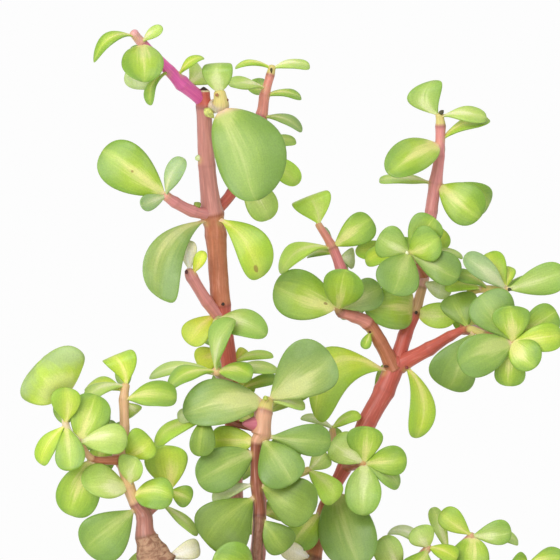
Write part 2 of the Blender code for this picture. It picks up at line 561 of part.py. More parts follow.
def place_leaves(leaves, tubes):
    """Seat every leaf; one that would touch what already grows there swings aside in depth."""
    barks = {stem: BVHTree.FromPolygons(*merged(shapes)) for stem, shapes in tubes.items()}
    swings = sorted((k * SWING_STEP for k in range(-SWING_STEPS, SWING_STEPS + 1)), key=abs)
    placed, crowded = [], []
    for leaf in leaves:
        for angle in swings:
            leaf.pose = leaf.swing(angle, barks[leaf.stem])
            if not touches(leaf, leaf.pose, placed, barks):
                middle = (leaf.pose[0] + leaf.pose[1]) / 2
                placed.append((leaf, middle, tree_of(leaf.shape(leaf.pose))))
                break
        else:
            crowded.append(leaf.name)
    print("leaves with no room:", crowded)
    return [leaf for leaf, _, _ in placed]


def merged(shapes):
    """Several closed shapes as one list of corners and faces."""
    verts, faces = [], []
    for shape_verts, shape_faces in shapes:
        faces += [tuple(i + len(verts) for i in face) for face in shape_faces]
        verts += [tuple(v) for v in shape_verts]
    return verts, faces


def drop_slivers(mesh):
    """Keep the one large shell of a Boolean's result, without the flat slivers it can leave."""
    shape = bmesh.new()
    shape.from_mesh(mesh)
    bmesh.ops.remove_doubles(shape, verts=shape.verts, dist=0.002 * MM)
    bmesh.ops.triangulate(shape, faces=shape.faces)
    left = set(shape.faces)
    shells = []
    while left:
        queue = [left.pop()]
        shell = []
        while queue:
            face = queue.pop()
            shell.append(face)
            for edge in face.edges:
                if len(edge.link_faces) == 2:
                    queue += [near for near in edge.link_faces if near in left]
                    left.difference_update(edge.link_faces)
        shells.append(shell)
    largest = max(shells, key=len)
    slivers = [face for shell in shells if shell is not largest for face in shell]
    bmesh.ops.delete(shape, geom=slivers, context="FACES")
    shape.to_mesh(mesh)
    shape.free()


def combined(name, body, others, operation):
    """The body after a Boolean with every other object, which are then removed."""
    helpers = bpy.data.collections.new(name + "_helpers")
    bpy.context.scene.collection.children.link(helpers)
    for other in others:
        bpy.context.collection.objects.unlink(other)
        helpers.objects.link(other)
    cut = body.modifiers.new("join", "BOOLEAN")
    cut.operation = operation
    cut.operand_type = "COLLECTION"
    cut.collection = helpers
    bpy.context.view_layer.update()
    graph = bpy.context.evaluated_depsgraph_get()
    mesh = bpy.data.meshes.new_from_object(body.evaluated_get(graph))
    mesh.name = name
    drop_slivers(mesh)
    body.modifiers.clear()
    body.data = mesh
    for other in others:
        bpy.data.objects.remove(other)
    bpy.data.collections.remove(helpers)
    return body


def plain_material(name, colour, roughness):
    material = bpy.data.materials.new(name)
    material.use_nodes = True
    shader = material.node_tree.nodes["Principled BSDF"]
    shader.inputs["Base Color"].default_value = (*colour, 1)
    shader.inputs["Roughness"].default_value = roughness
    return material


# ---------------------------------------------------------------- pot and soil
def turned(name, profile):
    """A solid of revolution whose profile starts and ends on the axis."""
    turns = [2 * math.pi * k / POT_SIDES for k in range(POT_SIDES)]
    rings = [[Vector((r * math.cos(a), r * math.sin(a), z)) * MM for a in turns]
             for r, z in profile[1:-1]]
    start, end = (Vector((0, 0, z)) * MM for z in (profile[0][1], profile[-1][1]))
    verts, faces = loft(rings, start, end)
    return mesh_object(name, verts, faces)


def inner_radius(z):
    """The pot's inside wall at height z, a straight cone from its floor to its mouth."""
    slope = (POT_BODY_RADIUS - POT_FOOT_RADIUS) / (POT_HEIGHT - POT_RIM_BAND)
    return POT_FOOT_RADIUS - POT_WALL + slope * z


def make_pot():
    band_foot = POT_HEIGHT - POT_RIM_BAND
    profile = [(0, 0), (POT_FOOT_RADIUS - 1.5, 0), (POT_FOOT_RADIUS, 1.5),
               (POT_BODY_RADIUS, band_foot), (POT_RIM_RADIUS - 1.5, band_foot + 0.8),
               (POT_RIM_RADIUS - 0.6, band_foot + 2.2), (POT_RIM_RADIUS, POT_HEIGHT - 2),
               (POT_RIM_RADIUS - 1.8, POT_HEIGHT), (inner_radius(POT_HEIGHT) + 1.5, POT_HEIGHT),
               (inner_radius(POT_HEIGHT), POT_HEIGHT - 1.5),
               (inner_radius(POT_FLOOR + 2), POT_FLOOR + 2),
               (inner_radius(POT_FLOOR) - 2, POT_FLOOR), (0, POT_FLOOR)]
    pot = turned("pot", profile)
    holes = []
    for k in range(DRAIN_HOLES):
        turn = 2 * math.pi * (k + 0.5) / DRAIN_HOLES
        bpy.ops.mesh.primitive_cylinder_add(
            vertices=16, radius=DRAIN_RADIUS * MM, depth=3 * POT_FLOOR * MM,
            location=(DRAIN_CIRCLE * MM * math.cos(turn), DRAIN_CIRCLE * MM * math.sin(turn), 0))
        holes.append(bpy.context.object)
    return combined("pot", pot, holes, "DIFFERENCE")


def make_soil(feet):
    """The potting mix fills the pot to 10 mm under its rim, with a socket for each stem's foot."""
    edge = inner_radius(SOIL_TOP) - GAP
    floor = POT_FLOOR + GAP
    profile = [(0, floor), (inner_radius(floor) - 2 - 2 * GAP, floor),
               (inner_radius(floor + 2) - GAP, floor + 2), (edge, SOIL_TOP),
               (edge * 0.7, SOIL_TOP + SOIL_DOME * 0.5), (edge * 0.35, SOIL_TOP + SOIL_DOME * 0.9),
               (0, SOIL_TOP + SOIL_DOME)]
    soil = turned("soil", profile)
    sockets = [mesh_object("socket", *tube(foot, extra=GAP * 1.3)) for foot in feet]
    return combined("soil", soil, sockets, "DIFFERENCE")


# ---------------------------------------------------------------- assembly
def main():
    for old in list(bpy.data.objects):
        bpy.data.objects.remove(old)
    clay = plain_material("terracotta", (0.45, 0.17, 0.09), 0.85)
    mix = plain_material("potting_mix", (0.05, 0.03, 0.02), 0.95)
    bark = plain_material("stem_skin", (0.55, 0.20, 0.18), 0.5)
    flesh = plain_material("leaf_flesh", (0.35, 0.55, 0.09), 0.35)

    tubes, leaves = {}, []
    for stem, branches in STEMS.items():
        tubes[stem] = [tube(joints) for _, joints, _ in branches]
        for branch, joints, rows in branches:
            leaves += [Leaf(stem, branch, n + 1, joints, row) for n, row in enumerate(rows)]
    for leaf in sorted(leaves, key=lambda leaf: -leaf.length)[:LEAF_NODES]:
        leaf.own_piece = True

    joined = {stem: [] for stem in STEMS}
    for leaf in place_leaves(leaves, tubes):
        piece = mesh_object(leaf.name, *leaf.shape(leaf.pose))
        piece.data.materials.append(flesh)
        if not leaf.own_piece:
            joined[leaf.stem].append(piece)
    for stem, shapes in tubes.items():
        parts = [mesh_object(f"{stem}_{n}", *shape) for n, shape in enumerate(shapes)]
        whole = combined(stem, parts[0], parts[1:] + joined[stem], "UNION")
        whole.name = stem
        whole.data.materials.clear()
        whole.data.materials.append(bark)

    feet = [branches[0][1][:3] for branches in STEMS.values()]
    make_pot().data.materials.append(clay)
    make_soil(feet).data.materials.append(mix)


main()
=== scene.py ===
# %% [markdown]
# # A potted elephant bush
# The elephant bush (Portulacaria afra) is a small succulent tree.  This one is the variegated
# kind: each fleshy leaf has a pale cream heart that feathers out into a green margin.  Its
# young stems are rose or magenta, and its old wood is tan and ringed.
#
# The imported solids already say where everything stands.  This script dresses them: it grows
# every leaf again in a fine mesh, with the real plump edge and the real variegation, gives the
# stems their joints and colours, and turns a smooth clay pot.

# %% Load the frame
import math
import random

import bmesh
import bpy
import numpy as np
from mathutils import Matrix, Vector, noise
from mathutils.bvhtree import BVHTree
from mathutils.kdtree import KDTree


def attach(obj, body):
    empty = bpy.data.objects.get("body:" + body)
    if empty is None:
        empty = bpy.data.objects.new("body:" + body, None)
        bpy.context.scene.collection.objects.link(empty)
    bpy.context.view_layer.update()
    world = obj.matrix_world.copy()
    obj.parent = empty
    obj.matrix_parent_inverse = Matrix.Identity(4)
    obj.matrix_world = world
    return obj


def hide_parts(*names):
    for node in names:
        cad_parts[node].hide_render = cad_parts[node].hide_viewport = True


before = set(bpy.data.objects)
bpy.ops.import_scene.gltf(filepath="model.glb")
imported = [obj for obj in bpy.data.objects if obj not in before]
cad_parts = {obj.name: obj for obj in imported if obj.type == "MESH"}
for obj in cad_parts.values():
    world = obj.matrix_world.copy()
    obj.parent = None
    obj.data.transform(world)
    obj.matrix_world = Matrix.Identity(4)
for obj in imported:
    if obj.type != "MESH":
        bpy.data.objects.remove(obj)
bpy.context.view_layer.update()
MM = 0.001
print("nodes in the frame:", len(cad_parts))

# %% [markdown]
# ## Camera
# A portrait of the crown, taken level and from far away with a long lens, so that near and far
# leaves keep nearly the same scale.  Only the crown is in view; the pot stands below it.

# %% Camera
VIEW_SIDE = 0.160                       # metres of plant from side to side of the view
VIEW_DISTANCE = 2.5
VIEW_CENTRE = Vector((0.0079, 0.0, 0.2191))
SENSOR = 36.0                           # millimetres

lens = bpy.data.cameras.new("portrait_lens")
lens.sensor_width = SENSOR
lens.lens = SENSOR * VIEW_DISTANCE / VIEW_SIDE
lens.clip_end = 10
camera = bpy.data.objects.new("portrait_camera", lens)
camera.location = VIEW_CENTRE + Vector((0, -VIEW_DISTANCE, 0))
camera.rotation_euler = (math.pi / 2, 0, 0)
scene = bpy.context.scene
scene.collection.objects.link(camera)
scene.camera = camera
print("lens", round(lens.lens, 1), "mm")

# %% [markdown]
# ## Light
# Succulent leaves are thick and a little clear, like a slice of cucumber, so they look best in a
# bright room where light comes from all round.  A white world gives that.  One large soft window
# from the upper left adds the shape, and the plain view transform keeps the whites white.
#
# Colours are written as the eye sees them, as sRGB hex, and one function turns them to the
# linear values in which light adds up.

# %% Colours
WALL_WHITE = "#FDFDFD"


def linear(colour):
    """The linear (r, g, b, 1) of an sRGB hex colour such as "#8FB84E"."""
    parts = [int(colour[i:i + 2], 16) / 255 for i in (1, 3, 5)]
    return (*(c / 12.92 if c <= 0.04045 else ((c + 0.055) / 1.055) ** 2.4 for c in parts), 1.0)


print("the white of the walls, linear:", round(linear(WALL_WHITE)[0], 3))

# %% World
ROOM_LIGHT = 0.80                       # the walls look white, but light the plant a little less


def add_node(tree, kind, inputs=(), **settings):
    """A new shader node with its settings and its inputs.

    Inputs are a row from the first socket on, or a dict by socket.  Each is a plain value, a
    socket to link, or a node, which is read at its first open socket.
    """
    node = tree.nodes.new("ShaderNode" + kind)
    for key, value in settings.items():
        setattr(node, key, value)
    for key, value in inputs.items() if isinstance(inputs, dict) else enumerate(inputs):
        if isinstance(value, bpy.types.Node):
            value = next(socket for socket in value.outputs if socket.enabled)
        if isinstance(value, bpy.types.NodeSocket):
            tree.links.new(value, node.inputs[key])
        else:
            node.inputs[key].default_value = value
    return node


scene.view_settings.view_transform = "Standard"
world = bpy.data.worlds.new("bright_room")
world.use_nodes = True
sky = world.node_tree.nodes["Background"]
sky.inputs["Color"].default_value = linear(WALL_WHITE)
seen = add_node(world.node_tree, "LightPath").outputs["Is Camera Ray"]
strength = add_node(world.node_tree, "MapRange",
                    {"Value": seen, "To Min": ROOM_LIGHT, "To Max": 1.0})
world.node_tree.links.new(strength.outputs["Result"], sky.inputs["Strength"])
scene.world = world
print("the walls light the plant at", ROOM_LIGHT, "of their brightness")

# %% Window
WINDOW_PLACE = (-0.7, -1.5, 0.9)        # metres: in front, to the left and above
WINDOW_SIDE = 1.2
WINDOW_POWER = 24                       # watts

light = bpy.data.lights.new("window", "AREA")
light.size = WINDOW_SIDE
light.energy = WINDOW_POWER
window = bpy.data.objects.new("window", light)
window.location = WINDOW_PLACE
window.rotation_euler = (VIEW_CENTRE - Vector(WINDOW_PLACE)).to_track_quat("-Z", "Y").to_euler()
scene.collection.objects.link(window)
print("window of", WINDOW_SIDE, "m, looking at the crown from", WINDOW_PLACE)

# %% [markdown]
# ## Floor
# The pot stands on matt white board, as is laid under small things to show them plainly.  A disc
# is enough, since only its light and shadow are seen.  Its fine grain comes from the shader.

# %% Floor: matt_white_board
FLOOR_RADIUS = 0.8
BOARD_WHITE = "#F2F2F0"
BOARD_GRAIN = MM / 0.9                  # the fibres of real board are finer still

bpy.ops.mesh.primitive_circle_add(vertices=96, radius=FLOOR_RADIUS, fill_type="NGON")
floor = bpy.context.object
floor.name = "floor"
paint = bpy.data.materials.new("matt_white_board")
paint.use_nodes = True
board = paint.node_tree.nodes["Principled BSDF"]
grain = add_node(paint.node_tree, "TexNoise", {"Scale": 1 / BOARD_GRAIN, "Detail": 2.0})
rise = add_node(paint.node_tree, "Bump", {"Height": grain, "Strength": 0.1, "Distance": 0.0002})
paint.node_tree.links.new(rise.outputs["Normal"], board.inputs["Normal"])
board.inputs["Base Color"].default_value = linear(BOARD_WHITE)
board.inputs["Roughness"].default_value = 0.85
floor.data.materials.append(paint)
print("floor", 2 * FLOOR_RADIUS, "m across")

# %% [markdown]
# ## The growth table
# A plant like this grows in pairs of leaves from joints along a stem, but an old pot plant has
# lost some, been pruned, and leaned to the light.  No rule gives that, so every branch is
# listed one by one, with the same figures that its solids were built from.
#
# A branch is its name, one letter for the skin of each stretch between joints, its joints from
# the base up as (x, y, z, radius), and its leaves as (joint, tip x, tip y, tip z, width,
# facing, arch, fold, tone).  Millimetres, from the tall stem's foot on the soil.  A joint of 2.5
# is halfway from joint 2 to joint 3.  Facing letters are front, back (K), up, down, left and
# right, and several of them together give a direction in between.  Arch and fold are shares of
# the leaf's length and half width.  The letters for skin and for tone are explained further on.

# %% [markdown]
# ### Tall centre stem
# The tallest stem stands left of the middle.  It is dark and woody at its foot, red and
# orange-brown higher up, and rose above that.  It was pruned at the top.  One shoot has gone on
# from there, magenta where it is newest, and a pale stub beside it carries the largest leaf.
# All its branches go under one name, since on the real plant they are one piece of wood.

# %% Growth table: trunk of the tall centre stem
STEMS = {}


def add_branches(stem, branches):
    """Enter some branches of a stem, and say how much grows on them."""
    STEMS.setdefault(stem, []).extend(branches)
    leaf_count = sum(len(rows) for _, _, _, rows in branches)
    print(stem, "- branches:", len(branches), "leaves:", leaf_count)


add_branches("tall_centre_stem", [
    ("trunk", "kkrrddoorrd",
     [(1, 7, -14, 3.6), (1, 7, 4, 3.6), (1, 6.5, 30, 3.2), (0.5, 6.5, 58, 2.8),
      (-0.5, 7, 86, 2.4), (-1.5, 7, 111, 2.3), (-4, 6.5, 130, 2.8), (-5.5, 6, 150, 3),
      (-6.5, 6, 156, 3.4), (-8, 6, 170, 2.5), (-8.8, 5, 186.5, 2.2), (-8.8, 4.2, 190.3, 1.8)],
     [(8.1, -21.4, -4, 131.2, 12, "F", 0.12, 0.25, "s"),
      (8.15, 7.8, -1, 138.3, 10.8, "F", 0.12, 0.12, "b"),
      (5.95, -13.4, 0, 118.8, 8.8, "FFL", 0.1, 0.1, "y"),
      (5.3, -11, 10, 113.6, 7.5, "F", 0.05, 0.1, "y"),
      (5.1, 11, 9, 115.2, 5.5, "FUU", 0.1, 0.1, "u"),
      (5, 3.4, 10, 118, 3.6, "F", 0.05, 0.1, "y"),
      (9, -11, 4, 172.3, 1.8, "F", 0.05, 0.1, "p"),
      (8, -6, 21, 162, 9, "L", 0.1, 0.15, "m"),
      (9, -7.5, 18, 178, 7, "R", 0.1, 0.15, "m"),
      (4.7, 12.6, 1, 109.3, 4.8, "FU", 0.1, 0.1, "m")]),
])

# %% Growth table: crown of the tall centre stem
add_branches("tall_centre_stem", [
    ("crown", "mmml",
     [(-9, 6, 188.3, 1.8), (-15, 2, 193, 2.2), (-18.5, 1, 196.5, 1.7), (-26, 1, 204, 1.4),
      (-28.4, 0, 206.8, 1.3)],
     [(3, -25.6, -12, 192.8, 12, "F", 0.08, 0.12, "m"),
      (3.6, -40, -4, 199.3, 4.6, "UF", 0.3, 0.2, "m"),
      (3.05, -20, -4, 208.4, 3.5, "FL", 0.1, 0.2, "h"),
      (3, -27, 4, 191, 9, "F", 0.05, 0.1, "p"),
      (2, -25.5, -3, 186.3, 5.5, "LLUF", 0.12, 0.2, "m"),
      (1.5, -9, 0, 200.7, 4.8, "ULF", 0.1, 0.2, "b"),
      (0.8, -8.4, 9, 197, 9, "F", 0.08, 0.1, "h"),
      (3, -27, 13, 199, 7, "K", 0.1, 0.1, "m")]),
    ("pale_stub", "ccy",
     [(-8, 6, 186.5, 1.3), (-5.8, 2, 186.6, 1.9), (-4, -2.5, 187, 2.4), (-4.2, -3, 190, 1.7)],
     [(2.2, 6.5, -11, 159.7, 20.3, "F", 0.05, 0.12, "q"),
      (3, -4.8, -6, 200, 8.8, "F", 0.05, 0.15, "f")]),
    ("top_right", "drpssy",
     [(-6.5, 6, 156, 1.9), (-1, 9, 162, 1.6), (4, 11, 174, 1.7), (7.5, 12, 184, 1.75),
      (8.5, 12, 190, 1.5), (10.1, 12, 195.8, 1.3), (10.6, 12, 198, 1.1)],
     [(5.8, 0, 12, 198.3, 5, "UUUF", 0.12, 0.1, "b"),
      (5.8, 21.5, 13, 198, 6.5, "UUF", 0.1, 0.1, "h"),
      (4.3, -1.8, 8, 192.6, 9, "UUF", 0.1, 0.1, "h"),
      (4, 19, 14, 189.3, 6, "UUF", 0.1, 0.1, "m"),
      (3, 19.5, 10, 180.5, 6, "UUF", 0.12, 0.1, "s"),
      (2, 18.2, 8, 164.3, 7.5, "FR", 0.1, 0.1, "u"),
      (2, 17.5, 14, 177, 5, "FU", 0.1, 0.1, "h"),
      (1.5, 9.8, 5, 154.8, 9.2, "F", 0.1, 0.1, "h"),
      (3, 3, 27, 181, 9, "KU", 0.1, 0.1, "m"),
      (2, 10, 27, 170, 9, "KR", 0.1, 0.1, "m"),
      (4.4, 4, 26, 193, 5, "K", 0.1, 0.1, "m")]),
])

# %% Growth table: short shoots of the tall centre stem
add_branches("tall_centre_stem", [
    ("mid_left", "jjj",
     [(-6.5, 6, 155.8, 1.9), (-12, 4, 156.7, 1.7), (-17, 2, 159.2, 1.6), (-19.5, 1, 161, 1.4)],
     [(3, -37.5, -2, 173.8, 14, "F", 0.06, 0.08, "m"),
      (3, -14.4, -3, 171.6, 7, "FL", 0.1, 0.2, "g"),
      (3, -26.9, -6, 158, 4.8, "F", 0.03, 0.15, "g"),
      (0.4, -7.8, 22, 167, 4, "K", 0.1, 0.1, "m")]),
    ("low_left_stub", "jjj",
     [(-4, 6.5, 126, 1.9), (-8, 5, 131, 1.8), (-12.3, 3, 138, 1.75), (-12.8, 3, 139.4, 1.4)],
     [(3, -13.2, 1, 148.2, 5, "F", 0.05, 0.1, "c"),
      (2, -8.7, 1, 145.5, 3.6, "F", 0.05, 0.1, "y"),
      (0.5, -4.6, 18, 138, 4.4, "K", 0.1, 0.1, "m")]),
    ("middle_stub", "gg",
     [(-3.5, 6.5, 126, 1.6), (-4.6, 3.5, 125.4, 1.3), (-5.4, 1, 125, 1)],
     [(2, 8.9, -7, 122.3, 10.8, "FU", 0.12, 0.05, "f")]),
    ("viewer_shoot", "ee",
     [(-1.5, 7, 109, 1.7), (-4, 0, 110, 1.6), (-5.2, -5, 111, 1.4)],
     [(2, -0.8, -9, 126.5, 11.4, "LLF", 0.08, 0.35, "f"),
      (2, -19.5, -8, 107.2, 9.5, "FUU", 0.1, 0.15, "m"),
      (2, 5, -8, 109.2, 8.6, "FU", 0.12, 0.1, "m"),
      (1, -24.5, 4, 109.5, 9, "FUU", 0.12, 0.1, "h"),
      (1, 12.5, -1, 111, 7, "FUU", 0.1, 0.15, "h")]),
    ("rear_shoot", "rr",
     [(-1.5, 7, 111, 1.5), (-3, 16, 114, 1.3), (-4, 23, 118, 1.1)],
     [(2, -10, 31, 122, 9, "KL", 0.1, 0.1, "m"),
      (2, -2, 32, 107, 5, "K", 0.1, 0.1, "m"),
      (2, -2, 35, 112, 8, "KD", 0.1, 0.1, "m"),
      (1, -5, 26, 102, 5, "UK", 0.1, 0.1, "m"),
      (1, 4, 24, 103, 7, "UK", 0.1, 0.1, "m")]),
    ("foot_leaves", "rr",
     [(1.6, 6, 26, 1.4), (-5, 9, 33, 1.3), (-12, 14, 42, 1.1)],
     [(2, -24, 14, 48, 10, "FU", 0.1, 0.1, "m"),
      (2, -12, 28, 48, 10, "KU", 0.1, 0.1, "m"),
      (2, -16, 8, 54, 9, "F", 0.1, 0.1, "m"),
      (1, -8, 22, 30, 9, "KU", 0.1, 0.1, "m")]),
])

# %% [markdown]
# ### Front stem
# A thin brown stem stands in front of the others.  It was pruned at its top joint and has
# thickened there, and large greyish leaves stand along it in pairs.  Some hide its bark, so
# their places matter more than the stem's.

# %% Growth table: front stem
add_branches("front_stem", [
    ("front", "kkkkkxxtty",
     [(7, -10, -14, 2.7), (7, -10, 3, 2.7), (6.5, -11, 25, 2.4), (6, -12, 48, 2),
      (6.2, -12.5, 57, 1.7), (7, -13, 70, 1.8), (6.3, -13, 79, 1.9), (6.1, -13.5, 90, 1.5),
      (7.5, -14, 93, 2.9), (8.2, -14, 99.5, 2.7), (9.5, -13, 102.5, 1.6)],
     [(10, -14.4, -21, 100, 14.8, "FFU", 0.1, 0.08, "s"),
      (10, 27.3, -19, 116.2, 17, "F", 0.05, 0.1, "s"),
      (10, 20, -11, 100.5, 7, "FUU", 0.08, 0.1, "h"),
      (10, 1, -4, 103.5, 6, "DF", 0.1, 0.1, "b"),
      (8, 16.2, -22, 79, 13.5, "F", 0.1, 0.05, "q"),
      (7.9, 27.4, -15, 91, 9.4, "F", 0.1, 0.1, "q"),
      (7.2, -7, -9, 91.6, 9, "F", 0.1, 0.1, "b"),
      (6.8, -10.7, -17, 79.4, 12.4, "F", 0.08, 0.12, "q"),
      (6, 22.3, -19, 71, 14.3, "F", 0.1, 0.05, "d"),
      (5.7, -7.6, -18, 61.8, 17.4, "F", 0.06, 0.1, "d"),
      (6, -6.6, -11, 74.6, 6.5, "FU", 0.08, 0.1, "p"),
      (3.3, -5, -24, 58.6, 14, "F", 0.08, 0.1, "m"),
      (5, 15, -13, 60, 9.5, "F", 0.08, 0.1, "d"),
      (3.2, 14, -26, 47, 11, "F", 0.1, 0.1, "m"),
      (2.6, -6, -24, 40, 12, "F", 0.1, 0.1, "m"),
      (2, 18, -22, 30, 11, "FU", 0.1, 0.1, "m"),
      (2, -3, -26, 26, 9, "FU", 0.1, 0.1, "m")]),
    ("pruned_stub", "v",
     [(7.2, -12.6, 96, 3), (2.6, -13.2, 96.2, 0.6)],
     []),
    ("front_left", "xxg",
     [(7.3, -13.5, 94.5, 1.2), (2, -9, 95.6, 1), (-6, -7, 98, 1), (-8.5, -7, 98.6, 1)],
     [(3, -9.8, -12, 87.2, 7.4, "F", 0.1, 0.1, "d"),
      (2, -24, -3, 90.2, 7, "FU", 0.1, 0.1, "u"),
      (3, -15.6, -3, 98.2, 4.4, "F", 0.05, 0.1, "p")]),
    ("front_right", "yy",
     [(6.3, -13, 78, 1.4), (14, -8, 80, 1.3), (21, -8, 82.5, 1.1)],
     [(2, 28.5, -12, 73.5, 10.5, "FR", 0.05, 0.3, "u"),
      (2, 26.5, -7, 87.5, 6.5, "F", 0.1, 0.1, "h"),
      (1, 14, 4, 86, 8, "KU", 0.1, 0.1, "m")]),
])

# %% [markdown]
# ### Right stem
# The right stem is the reddest, and it forks into three arms.  Two of them end in a rosette:
# a tip whose joints stand so close that its leaves spread like petals.  A rosette is listed as
# leaves that share one joint and face the same way.

# %% Growth table: right stem and its left arm
add_branches("right_stem", [
    ("right", "kkkodddd",
     [(12, 1.5, -14, 3.5), (12.5, 1.5, 3, 3.4), (15.5, 1.5, 28, 3), (22.3, 0, 57, 2.5),
      (26, -1, 72, 1.9), (31.5, -1, 83, 2.2), (38, 0, 96, 2.8), (43, 1, 105, 3),
      (46.4, 2, 113.3, 3.2)],
     [(8, 22.4, -8, 96.8, 14, "F", 0.05, 0.15, "b"),
      (7.2, 36, 16, 92, 4, "K", 0.1, 0.1, "m"),
      (4.5, 35.6, -12, 54.5, 16.4, "F", 0.06, 0.1, "q"),
      (4, 17.2, -8, 60.6, 9.5, "F", 0.1, 0.15, "m"),
      (3, 12.6, -9, 60.8, 5.6, "F", 0.05, 0.1, "c"),
      (6, 42, 16, 107, 4, "K", 0.1, 0.1, "m"),
      (2.4, 24, -10, 46, 10, "F", 0.1, 0.1, "m"),
      (2, 22, 12, 34, 10, "KR", 0.1, 0.1, "m")]),
    ("right_left_arm", "oossk",
     [(45.5, 1.5, 112, 2.4), (41.8, -1, 119.3, 2), (38.3, -2, 124.6, 2.1), (34, -3, 126.6, 1.7),
      (30.4, -4, 127.6, 1.3), (29.4, -4, 129, 1.1)],
     [(5, 11.4, -8, 135.6, 14.5, "F", 0.06, 0.1, "m"),
      (5, 32, -16, 140.3, 12, "F", 0.1, 0.1, "m"),
      (5, 42, -1, 134.8, 9.5, "F", 0.1, 0.1, "s"),
      (1.7, 36.9, -5.5, 117.2, 3.2, "F", 0.2, 0.2, "m"),
      (3, 33, 10, 130, 8, "K", 0.1, 0.1, "m")]),
    ("right_left_top", "ppps",
     [(34, -2, 127.5, 1.5), (32, -1, 134, 1.6), (30.5, 0, 140, 1.65), (28, 2, 146.5, 1.4),
      (24, 3, 153, 1)],
     [(4, 20.4, 1, 162.4, 11.5, "F", 0.05, 0.15, "u"),
      (3, 39.5, 1, 154.5, 9.2, "F", 0.1, 0.1, "m"),
      (3, 12.5, -1, 140, 10, "FUU", 0.2, 0.1, "u"),
      (2.5, 34, 7, 143.6, 6.2, "F", 0.1, 0.1, "p"),
      (2.7, 21.5, 8, 144, 5, "FU", 0.1, 0.1, "m"),
      (3, 28, 17, 150, 8, "KL", 0.1, 0.1, "m"),
      (2, 31, 14, 138, 8, "KR", 0.1, 0.1, "m")]),
])

# %% Growth table: middle arm of the right stem
add_branches("right_stem", [
    # The peach of its third stretch is lighter than the bark there: painted light against the
    # shade of the leaves above it.
    ("right_middle_arm", "ddeljjjjy",
     [(46.5, 2, 112.5, 2.5), (49, 4, 121, 2.1), (51.8, 5, 127.5, 1.8), (54, 6, 135, 1.3),
      (55.2, 6.5, 141, 1.5), (56.6, 7, 157, 1.9), (57.8, 8, 165, 2), (58.9, 9, 173, 1.5),
      (59.2, 9, 181.5, 1.5), (58.9, 9, 184.5, 1.2)],
     [(9, 57.3, 7, 195.2, 10, "F", 0.05, 0.15, "f"),
      (8.85, 72.5, 8, 183.4, 6.8, "FU", 0.12, 0.1, "h"),
      (7.5, 73.5, 11, 183, 8, "UUF", 0.1, 0.1, "b"),
      (7.4, 44, -4, 167.4, 11.6, "FFU", 0.08, 0.08, "m"),
      (6, 41.5, 9, 165.4, 7, "UUF", 0.08, 0.1, "h"),
      (6, 70.5, 3, 155.3, 12.2, "F", 0.1, 0.05, "m"),
      (6, 74.6, 15, 158.6, 9.4, "F", 0.1, 0.1, "m"),
      (2.2, 39.5, -8, 129.5, 13.4, "F", 0.1, 0.05, "m"),
      (2, 64, 3, 126.8, 7.6, "F", 0.1, 0.1, "u"),
      (3.3, 61.8, 2, 133, 5, "F", 0.1, 0.1, "p"),
      (7.6, 58.8, 22, 172, 3.6, "K", 0.1, 0.1, "m"),
      (5.1, 56, 24, 149, 3.6, "K", 0.1, 0.1, "m"),
      (4.6, 56, 22, 143, 8, "K", 0.1, 0.1, "m")]),
    ("middle_rosette", "oy",
     [(54.6, 6.5, 139, 1.5), (52.2, 1, 143, 1.4), (50, -5, 145, 1.3)],
     [(2, 45, -14, 133.3, 13, "F", 0.1, 0.05, "q"),
      (2, 57.2, -8, 155.2, 10.2, "F", 0.08, 0.1, "m"),
      (2, 59.4, -9, 149.8, 10.8, "F", 0.1, 0.1, "m"),
      (2, 41.2, -8, 149.8, 10, "F", 0.1, 0.1, "f"),
      (2, 64.5, -9, 138, 9.5, "F", 0.1, 0.1, "q"),
      (2, 38, -9, 142.5, 8, "FU", 0.1, 0.1, "b"),
      (1, 65.5, -2, 144.8, 5, "UUF", 0.1, 0.1, "h"),
      (1, 61, 1, 151.5, 8, "F", 0.1, 0.1, "b"),
      (1, 34.5, -1, 145, 7.5, "FU", 0.1, 0.1, "b")]),
    ("middle_rear", "rr",
     [(53.7, 6, 136, 1.4), (54, 14, 139, 1.3), (55, 22, 142, 1.1)],
     [(2, 56, 30, 153, 9, "K", 0.1, 0.1, "m"),
      (2, 62, 30, 144, 9, "K", 0.1, 0.1, "m"),
      (2, 50, 32, 136, 9, "K", 0.1, 0.1, "m"),
      (2, 46, 26, 147, 9, "K", 0.1, 0.1, "m")]),
])

